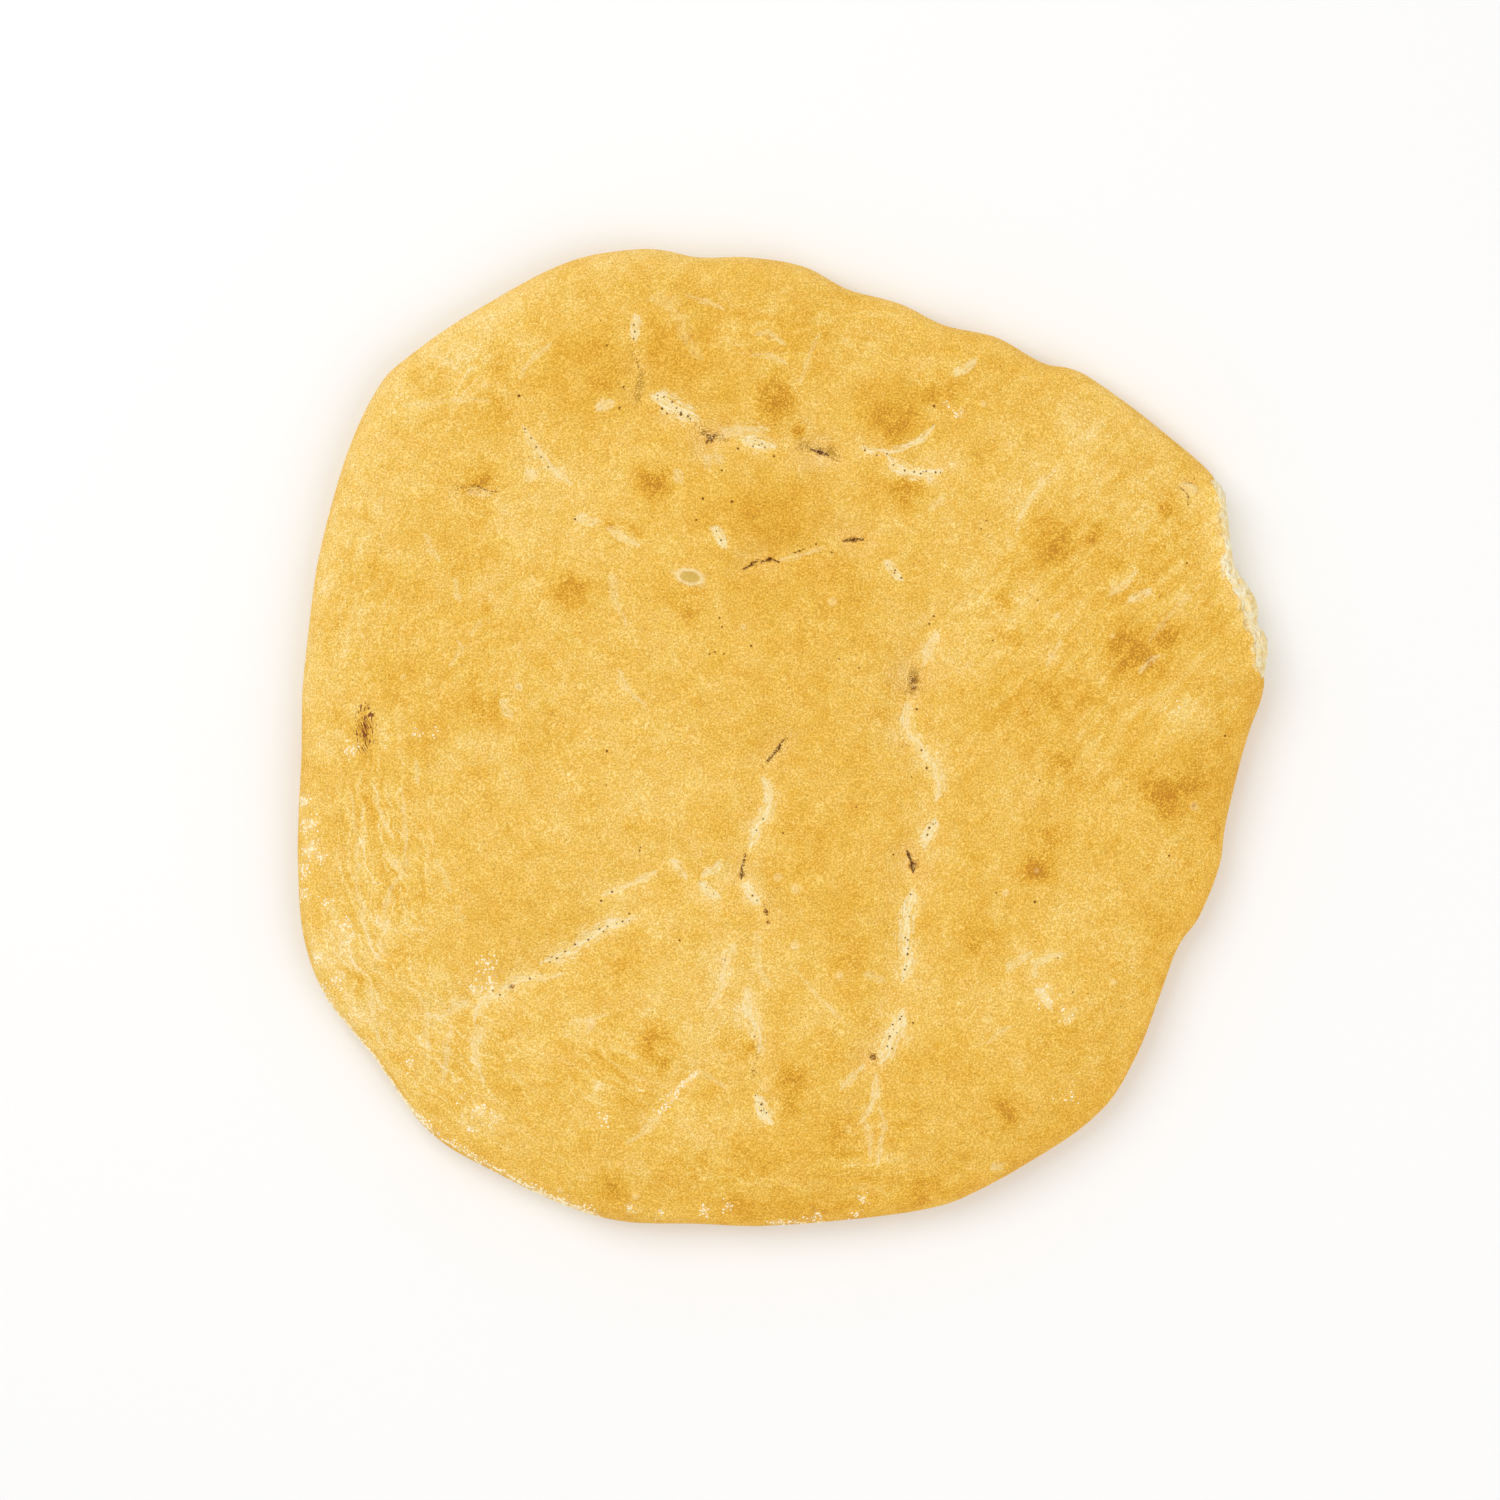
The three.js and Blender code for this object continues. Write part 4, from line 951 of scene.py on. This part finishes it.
def spread(tree, value, amount, onto):
    """Onto, plus value's distance from a half, times amount."""
    return sums(tree, "MULTIPLY_ADD", sums(tree, "SUBTRACT", value, 0.5), amount, onto)


def mark(tree, name):
    """An amount stored on the mesh."""
    return add(tree, "ShaderNodeAttribute", attribute_name=name, attribute_type="GEOMETRY").outputs["Fac"]


def grains(tree, where, scale, detail=2.0, roughness=0.5, dimensions="3D"):
    """Noise from 0 to 1."""
    return add(tree, "ShaderNodeTexNoise", {
        "Vector": where, "Scale": scale, "Detail": detail, "Roughness": roughness,
    }, noise_dimensions=dimensions).outputs["Fac"]


def step_up(tree, value, low, high):
    """0 at low, 1 at high, whichever is the larger, and smooth between."""
    return add(tree, "ShaderNodeMapRange", {
        "Value": value, "From Min": low, "From Max": high, "To Min": 0.0, "To Max": 1.0,
    }, interpolation_type="SMOOTHSTEP").outputs["Result"]


def mix_colour(tree, share, under_colour, over_colour):
    """Over_colour laid on under_colour by this share."""
    made = add(tree, "ShaderNodeMix", data_type="RGBA")
    for name, value in (("Factor", share), ("A", under_colour), ("B", over_colour)):
        socket = next(s for s in made.inputs if s.name == name and s.enabled)
        if isinstance(value, bpy.types.NodeSocket):
            tree.links.new(value, socket)
        else:
            socket.default_value = value
    return next(s for s in made.outputs if s.enabled)


def stain(tree, colour, amount, strength, tone):
    """The colour with a tone laid over it by an amount, at most this strongly."""
    return mix_colour(tree, sums(tree, "MULTIPLY", amount, strength), colour, tone)


def ramp(tree, value, stops):
    """A colour ramp through (place, colour) stops."""
    made = add(tree, "ShaderNodeValToRGB", {"Fac": value})
    elements = made.color_ramp.elements
    elements[0].position, elements[0].color = stops[0]
    elements[1].position, elements[1].color = stops[-1]
    for place, colour in stops[1:-1]:
        elements.new(place).color = colour
    return made.outputs["Color"]


# The crust's tones, from palest to brownest, and the base's, from floury to toasted.
CRUST_TONES = [
    (0.0, srgb(254, 230, 178)), (0.25, srgb(248, 211, 124)), (0.5, srgb(239, 191, 81)),
    (0.75, srgb(228, 170, 46)), (1.0, srgb(202, 139, 28)),
]
BASE_TONES = [
    (0.25, srgb(238, 220, 178)), (0.48, srgb(222, 188, 122)), (0.62, srgb(192, 142, 76)),
    (0.85, srgb(138, 90, 44)),
]
# Pairs of tones that noise mixes.
STREAK_TONES = (srgb(253, 238, 192), srgb(246, 218, 142))
CRUMB_TONES = (srgb(255, 226, 154), srgb(255, 249, 220))
# The small marks, in the order they are laid: how much mottling and grain roughen the edge, where it starts
# to show and is full, how strongly it covers, and its tone.
MARK_LOOKS = [
    ("scar", 0, 0, None, 0.8, srgb(210, 182, 94)),
    ("scar_rim", 0, 0, None, 0.7, srgb(254, 236, 182)),
    ("flap", 0, 0, None, 0.5, srgb(250, 228, 170)),
    # Painted greenish shade in the deepest hollows.
    ("hollow_with_painted_shade", 2.4, 1.6, (0.45, 1.5), 0.8, srgb(172, 132, 40)),
    ("crack", 0, 2.2, (0.4, 1.0), 0.88, srgb(92, 50, 8)),
    # Painted shade in the dark pits and the pinholes.
    ("pit_with_painted_shade", 0, 2.0, (0.4, 1.1), 0.8, srgb(108, 60, 8)),
    ("pit", 0, 0, (0.2, 0.75), 0.9, srgb(116, 70, 8)),
    ("blister", 1.6, 1.4, (0.3, 1.1), 0.3, srgb(255, 214, 150)),
    ("sunken", 0, 0, None, 0.6, srgb(188, 150, 84)),
]
# The scorched dashes, the flour dust and the crumb's bubbles: how strongly they cover, and their tones.
SCORCH_COVER = 0.9
SCORCH_TONE = srgb(122, 50, 18)
DUST_TONE = srgb(255, 243, 204)
BUBBLE_COVER = 0.6
BUBBLE_TONE = srgb(232, 194, 112)
# How many waves of each noise go into a metre.
GRAIN_WAVES = 1800
MOTTLE_WAVES = 230
PATCH_WAVES = 80
CLOUD_WAVES = 26
TINT_WAVES = 130
WRINKLE_WAVES = 480
FOLD_WAVES = 210
BRUSH_WAVES = 330
FIBRE_WAVES = 1200
DASH_WAVES = 2200
# How noise is drawn out: round the loaf, in metres a radian; along the brush strokes, in times, and their
# turn in degrees; and along the streaks, as a share of their run.
WRINKLE_STRETCH = 0.022
BRUSH_STRETCH = 4.5
BRUSH_TURN = 48
FIBRE_STRETCH = 0.22
# How strongly each noise varies the bake, and the tint the hue.
MOTTLE_DEPTH = 0.42
PATCH_DEPTH = 0.44
CLOUD_DEPTH = 0.28
WRINKLE_DEPTH = 0.75
BRUSH_DEPTH = 0.62
TINT_DEPTH = 0.009
# How much browner each of these makes the crust, or paler, below nought.
WRINKLE_BAKE = -0.30
HALO_BAKE = -0.11
BLISTER_BAKE = -0.20
SCORCH_BAKE = 0.35
SPECK_BAKE = -0.26
SPECK_BAKE_ON_BROWN = -0.5
# The crust's grain as a bump, in metres, and its least and greatest roughness.
GRAIN_BUMP = 0.8
GRAIN_HEIGHT = 0.0007
CRUST_ROUGHNESS = (0.58, 0.78)
CRUST_SHINE = 0.3

crust = bpy.data.materials.new("baked_crust")
crust.use_nodes = True
tree = crust.node_tree
tree.nodes.clear()
where = add(tree, "ShaderNodeTexCoord").outputs["Object"]
grain = grains(tree, where, GRAIN_WAVES, 1.0, 0.6)
mottle = grains(tree, where, MOTTLE_WAVES, 3.0, 0.62)
patch = grains(tree, where, PATCH_WAVES, 2.0, 0.6)
cloud = grains(tree, where, CLOUD_WAVES, 1.0, 0.5)
pale_specks = step_up(tree, grain, 0.63, 0.72)

# Wrinkles run round the loaf, along its rim: noise drawn out that way, and the same on a slant where
# the dough was brushed across at the upper right.
flat_place = add(tree, "ShaderNodeVectorMath", {
    0: where, 1: (1.0, 1.0, 0.0),
}, operation="MULTIPLY").outputs[0]
from_middle = add(tree, "ShaderNodeVectorMath", {0: flat_place}, operation="LENGTH").outputs["Value"]
parts = add(tree, "ShaderNodeSeparateXYZ", {"Vector": where})
turned = sums(tree, "ARCTAN2", parts.outputs["Y"], sums(tree, "MULTIPLY", parts.outputs["X"], -1.0))
round_loaf = add(tree, "ShaderNodeCombineXYZ", {
    "X": spread(tree, patch, 0.012, from_middle), "Y": sums(tree, "MULTIPLY", turned, WRINKLE_STRETCH),
    "Z": 0.0,
}).outputs[0]
drawn_out = grains(tree, round_loaf, WRINKLE_WAVES, 2.5, 0.6, "2D")
folds = grains(tree, round_loaf, FOLD_WAVES, 1.0, 0.5, "2D")
crest = sums(tree, "ABSOLUTE", sums(tree, "SUBTRACT", spread(tree, mottle, 0.07, folds), 0.5))
wrinkle = sums(tree, "MULTIPLY", step_up(tree, crest, 0.05, 0.0), mark(tree, "wrinkled"))
slanted = add(tree, "ShaderNodeMapping", {
    "Vector": where, "Rotation": (0.0, 0.0, math.radians(BRUSH_TURN)), "Scale": (BRUSH_STRETCH, 1.0, 1.0),
}, vector_type="TEXTURE").outputs[0]
brush_marks = grains(tree, slanted, BRUSH_WAVES, 2.5, 0.6, "2D")

# The streaks' fibres, and their ragged edge: a cream core in a pale halo.
streak_place = add(tree, "ShaderNodeCombineXYZ", {
    "X": sums(tree, "MULTIPLY", mark(tree, "streak_run"), FIBRE_STRETCH),
    "Y": mark(tree, "streak_side"), "Z": 0.0,
}).outputs[0]
fibre = grains(tree, streak_place, FIBRE_WAVES, 2.5, 0.65, "2D")
streak_strength = mark(tree, "streak")
frayed = spread(tree, mottle, 2.2, spread(tree, fibre, 2.6, mark(tree, "across")))
frayed = spread(tree, grain, 1.2, frayed)
streak_core = sums(tree, "MULTIPLY", step_up(tree, frayed, 1.75, -0.15), streak_strength)
streak_halo = sums(tree, "MULTIPLY", step_up(tree, frayed, 3.9, 0.4), streak_strength)

# How baked each place is, with all the noises and marks, gives its colour.
browner = sums(tree, "MULTIPLY", mark(tree, "browned"), spread(tree, mottle, 2.6, 1.2))
grain_depth = sums(tree, "MULTIPLY_ADD", browner, 1.6, 0.98)
baked = sums(tree, "ADD", mark(tree, "bake"), browner)
baked = spread(tree, grain, grain_depth, baked)
baked = spread(tree, mottle, MOTTLE_DEPTH, baked)
baked = spread(tree, patch, sums(tree, "MULTIPLY_ADD", mark(tree, "wrinkled"), 0.3, PATCH_DEPTH), baked)
baked = spread(tree, cloud, CLOUD_DEPTH, baked)
baked = spread(tree, drawn_out, sums(tree, "MULTIPLY", mark(tree, "wrinkled"), WRINKLE_DEPTH), baked)
baked = sums(tree, "MULTIPLY_ADD", wrinkle, WRINKLE_BAKE, baked)
baked = spread(tree, brush_marks, sums(tree, "MULTIPLY", mark(tree, "brushed"), BRUSH_DEPTH), baked)
baked = sums(tree, "MULTIPLY_ADD", streak_halo, HALO_BAKE, baked)
baked = sums(tree, "MULTIPLY_ADD", mark(tree, "blister"), BLISTER_BAKE, baked)
baked = sums(tree, "MULTIPLY_ADD", mark(tree, "scorch"), SCORCH_BAKE, baked)
speck_bake = sums(tree, "MULTIPLY_ADD", browner, SPECK_BAKE_ON_BROWN, SPECK_BAKE)
baked = sums(tree, "MULTIPLY_ADD", pale_specks, speck_bake, baked)
gold = ramp(tree, baked, CRUST_TONES)
cream = mix_colour(tree, step_up(tree, fibre, 0.35, 0.65), *STREAK_TONES)
tint = grains(tree, where, TINT_WAVES, 2.0, 0.6, "2D")
# Painted rim light raises the lightness along the rim.
lightness = spread(tree, grain, -0.6, sums(tree, "MULTIPLY_ADD", mark(tree, "painted_rim_light"), 0.15, 1.01))
grainy = add(tree, "ShaderNodeHueSaturation", {
    "Color": gold, "Value": lightness, "Saturation": 1.0, "Hue": spread(tree, tint, TINT_DEPTH, 0.5),
    "Fac": 1.0,
}).outputs[0]
colour = mix_colour(tree, streak_core, grainy, cream)

for name, mottling, graininess, edge, cover, tone in MARK_LOOKS:
    amount = mark(tree, name)
    if mottling:
        amount = spread(tree, mottle, mottling, amount)
    if graininess:
        amount = spread(tree, grain, graininess, amount)
    if edge:
        amount = step_up(tree, amount, *edge)
    colour = stain(tree, colour, amount, cover, tone)

# The scorched mark is a cluster of short dark dashes.
scorched = mark(tree, "scorch")
dashes = grains(tree, round_loaf, DASH_WAVES, 1.0, 0.5, "2D")
flecked = spread(tree, dashes, 4.0, spread(tree, grain, 0.8, scorched))
flecked = sums(tree, "MULTIPLY", step_up(tree, flecked, 0.62, 0.95), step_up(tree, scorched, 0.05, 0.3))
colour = stain(tree, colour, flecked, SCORCH_COVER, SCORCH_TONE)

# Flour dust, in specks where it lies thinly.
dust = spread(tree, grain, 3.2, spread(tree, mottle, 1.4, mark(tree, "flour")))
floured = step_up(tree, mark(tree, "flour"), 0.04, 0.3)
dusted = sums(tree, "MULTIPLY", step_up(tree, dust, 0.5, 1.0), floured)
colour = mix_colour(tree, dusted, colour, DUST_TONE)

# The torn crumb, cream and a little deeper in its bubbles.
crumb_tone = spread(tree, grain, 0.5, mottle)
crumb_colour = mix_colour(tree, step_up(tree, crumb_tone, 0.3, 0.7), *CRUMB_TONES)
crumb_colour = stain(tree, crumb_colour, mark(tree, "bubble"), BUBBLE_COVER, BUBBLE_TONE)
crumb_share = step_up(tree, spread(tree, mottle, 0.7, mark(tree, "crumb")), 0.3, 0.6)
colour = mix_colour(tree, crumb_share, colour, crumb_colour)

# The base, where flour from the oven floor was toasted on.
toasted = spread(tree, grain, 0.6, spread(tree, mottle, 0.5, patch))
colour = mix_colour(tree, mark(tree, "under"), colour, ramp(tree, toasted, BASE_TONES))

roughened = sums(tree, "MULTIPLY_ADD", mottle, 0.7, grain)
bumps = add(tree, "ShaderNodeBump", {
    "Height": roughened, "Strength": GRAIN_BUMP, "Distance": GRAIN_HEIGHT,
}).outputs[0]
roughness = add(tree, "ShaderNodeMapRange", {
    "Value": grain, "From Min": 0.3, "From Max": 0.7,
    "To Min": CRUST_ROUGHNESS[0], "To Max": CRUST_ROUGHNESS[1],
}).outputs["Result"]
skin_shader = add(tree, "ShaderNodeBsdfPrincipled", {
    "Base Color": colour, "Roughness": roughness, "Normal": bumps, "Specular IOR Level": CRUST_SHINE,
})
add(tree, "ShaderNodeOutputMaterial", {"Surface": skin_shader.outputs[0]})
loaf_mesh.materials.append(crust)

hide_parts("pizza_bread")
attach(loaf, "root")

# ------------------------------------------------------------------------------------------------
# The flour
#
# Bench flour that stuck to the dough: small white grains, thickest in clumps along the lower left rim
# and thinly strewn elsewhere. Geometry Nodes scatter the grains over the loaf where it was dusted.
# ------------------------------------------------------------------------------------------------
# A grain's radius, the least and greatest share of it, its form, and how far it tilts, in radians.
GRAIN_RADIUS = 0.00033
GRAIN_SIZES = (0.45, 1.5)
GRAIN_SHAPE = (1.0, 0.75, 0.55)
GRAIN_TILT = 0.4
# How thickly the grains lie, and the noise that gathers them in clumps.
GRAINS_PER_M2 = 1.9e7
CLUMPS_PER_M = 760
CLUMP_EDGE = 0.52
FLOUR_SEED = 11
# The look of the flour: the two tones that noise mixes, and how rough and shiny it is.
FLOUR_TONES = (srgb(254, 236, 190), srgb(255, 248, 222))
FLOUR_WAVES = 900
FLOUR_ROUGHNESS = 0.95
FLOUR_SHINE = 0.1

flour_white = bpy.data.materials.new("flour")
flour_white.use_nodes = True
flour_shader = flour_white.node_tree.nodes["Principled BSDF"]
flour_place = add(flour_white.node_tree, "ShaderNodeTexCoord").outputs["Object"]
flour_tone = grains(flour_white.node_tree, flour_place, FLOUR_WAVES, 2.0)
flour_colour = mix_colour(flour_white.node_tree, flour_tone, *FLOUR_TONES)
flour_white.node_tree.links.new(flour_colour, flour_shader.inputs["Base Color"])
flour_shader.inputs["Roughness"].default_value = FLOUR_ROUGHNESS
flour_shader.inputs["Specular IOR Level"].default_value = FLOUR_SHINE

scatter = bpy.data.node_groups.new("strewn_flour", "GeometryNodeTree")
for name, kind, direction in (
    ("Loaf", "NodeSocketGeometry", "INPUT"), ("Grain radius", "NodeSocketFloat", "INPUT"),
    ("Grains per square metre", "NodeSocketFloat", "INPUT"),
    ("Clumps per metre", "NodeSocketFloat", "INPUT"), ("Seed", "NodeSocketInt", "INPUT"),
    ("Flour", "NodeSocketGeometry", "OUTPUT"),
):
    scatter.interface.new_socket(name=name, in_out=direction, socket_type=kind)
given = scatter.nodes.new("NodeGroupInput").outputs
dusting = add(scatter, "GeometryNodeInputNamedAttribute", {"Name": "flour"}, data_type="FLOAT")
thickness = sums(scatter, "POWER", dusting.outputs["Attribute"], 2.0)
density = sums(scatter, "MULTIPLY", thickness, given["Grains per square metre"])
strewn = add(scatter, "GeometryNodeDistributePointsOnFaces", {
    "Mesh": given["Loaf"], "Density": density, "Seed": given["Seed"],
}).outputs
clump = add(scatter, "ShaderNodeTexNoise", {"Scale": given["Clumps per metre"], "Detail": 2.0})
between_clumps = add(scatter, "FunctionNodeCompare", {
    "A": clump.outputs["Fac"], "B": CLUMP_EDGE,
}, data_type="FLOAT", operation="LESS_THAN").outputs["Result"]
clumped = add(scatter, "GeometryNodeDeleteGeometry", {
    "Geometry": strewn["Points"], "Selection": between_clumps,
}, domain="POINT")
lump = add(scatter, "GeometryNodeMeshIcoSphere", {"Radius": given["Grain radius"], "Subdivisions": 1})
flat_lump = add(scatter, "GeometryNodeTransform", {
    "Geometry": lump.outputs["Mesh"], "Scale": GRAIN_SHAPE,
})
grain_size = add(scatter, "FunctionNodeRandomValue", {
    "Min": GRAIN_SIZES[0], "Max": GRAIN_SIZES[1], "Seed": given["Seed"],
}, data_type="FLOAT")
spin = add(scatter, "FunctionNodeRandomValue", {
    "Min": (-GRAIN_TILT, -GRAIN_TILT, 0.0), "Max": (GRAIN_TILT, GRAIN_TILT, 2 * math.pi),
    "Seed": given["Seed"],
}, data_type="FLOAT_VECTOR")
lumps = add(scatter, "GeometryNodeInstanceOnPoints", {
    "Points": clumped.outputs["Geometry"], "Instance": flat_lump.outputs["Geometry"],
    "Rotation": spin.outputs["Value"], "Scale": next(s for s in grain_size.outputs if s.enabled),
})
strewn_grains = add(scatter, "GeometryNodeRealizeInstances", {"Geometry": lumps.outputs["Instances"]})
painted = add(scatter, "GeometryNodeSetMaterial", {
    "Geometry": strewn_grains.outputs["Geometry"], "Material": flour_white,
})
result = scatter.nodes.new("NodeGroupOutput")
scatter.links.new(painted.outputs["Geometry"], result.inputs["Flour"])

flour_dust = bpy.data.objects.new("flour_dust", loaf_mesh.copy())
bpy.context.scene.collection.objects.link(flour_dust)
strewing = flour_dust.modifiers.new("strewn_flour", "NODES")
strewing.node_group = scatter
sockets = {item.name: item.identifier for item in scatter.interface.items_tree if item.in_out == "INPUT"}
strewing[sockets["Grain radius"]] = GRAIN_RADIUS
strewing[sockets["Grains per square metre"]] = GRAINS_PER_M2
strewing[sockets["Clumps per metre"]] = CLUMPS_PER_M
strewing[sockets["Seed"]] = FLOUR_SEED
evaluated_dust = flour_dust.evaluated_get(bpy.context.evaluated_depsgraph_get())
strewn_mesh = bpy.data.meshes.new_from_object(evaluated_dust)
flour_dust.modifiers.clear()
flour_dust.data = strewn_mesh
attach(flour_dust, "root")

# ------------------------------------------------------------------------------------------------
# The floor, the light and the camera
#
# A plain pale floor under soft, even light from large sources, and a camera straight above. Its
# frame is square and takes in 450 mm, a little left of and below the loaf's middle.
# ------------------------------------------------------------------------------------------------
FRAME_WIDTH = 0.450
CAMERA_HEIGHT = 1.6
CAMERA_X = -0.0099
CAMERA_Y = -0.0039
SENSOR_WIDTH = 36.0
FLOOR_HALF = 3.0
FLOOR_DROP = 0.0002
FLOOR_GREY = 0.92
FLOOR_ROUGHNESS = 0.9
LIGHT_TINT = (1.0, 0.985, 0.965)
KEY_PLACE = (-0.75, 0.6, 1.45)
KEY_SIZE = 1.2
KEY_WATTS = 10.8
FILL_PLACE = (0.85, -0.6, 1.45)
FILL_SIZE = 1.4
FILL_WATTS = 7.7
SKY_STRENGTH = 0.66

floor_mesh = bpy.data.meshes.new("floor")
floor_corners = [
    (side_x * FLOOR_HALF, side_y * FLOOR_HALF, -FLOOR_DROP)
    for side_x, side_y in ((-1, -1), (1, -1), (1, 1), (-1, 1))
]
floor_mesh.from_pydata(floor_corners, [], [(0, 1, 2, 3)])
floor = bpy.data.objects.new("floor", floor_mesh)
bpy.context.scene.collection.objects.link(floor)
floor_paint = bpy.data.materials.new("pale_floor")
floor_paint.use_nodes = True
floor_shader = floor_paint.node_tree.nodes["Principled BSDF"]
floor_shader.inputs["Base Color"].default_value = (FLOOR_GREY, FLOOR_GREY, FLOOR_GREY, 1)
floor_shader.inputs["Roughness"].default_value = FLOOR_ROUGHNESS
floor_mesh.materials.append(floor_paint)


def soft_light(name, place, size, watts):
    """A square area light that faces the loaf."""
    lamp = bpy.data.lights.new(name, "AREA")
    lamp.size = size
    lamp.energy = watts
    lamp.color = LIGHT_TINT
    holder = bpy.data.objects.new(name, lamp)
    holder.location = place
    holder.rotation_euler = (-Vector(place)).to_track_quat("-Z", "Y").to_euler()
    bpy.context.scene.collection.objects.link(holder)


soft_light("key", KEY_PLACE, KEY_SIZE, KEY_WATTS)
soft_light("fill", FILL_PLACE, FILL_SIZE, FILL_WATTS)

world = bpy.data.worlds.new("studio")
world.use_nodes = True
world.node_tree.nodes["Background"].inputs["Color"].default_value = (1, 1, 1, 1)
world.node_tree.nodes["Background"].inputs["Strength"].default_value = SKY_STRENGTH
bpy.context.scene.world = world
bpy.context.scene.view_settings.view_transform = "Standard"

camera_data = bpy.data.cameras.new("camera")
camera_data.sensor_width = SENSOR_WIDTH
camera_data.lens = SENSOR_WIDTH * (CAMERA_HEIGHT - CROWN_HEIGHT * MM) / FRAME_WIDTH
camera = bpy.data.objects.new("camera", camera_data)
camera.location = (CAMERA_X, CAMERA_Y, CAMERA_HEIGHT)
bpy.context.scene.collection.objects.link(camera)
bpy.context.scene.camera = camera
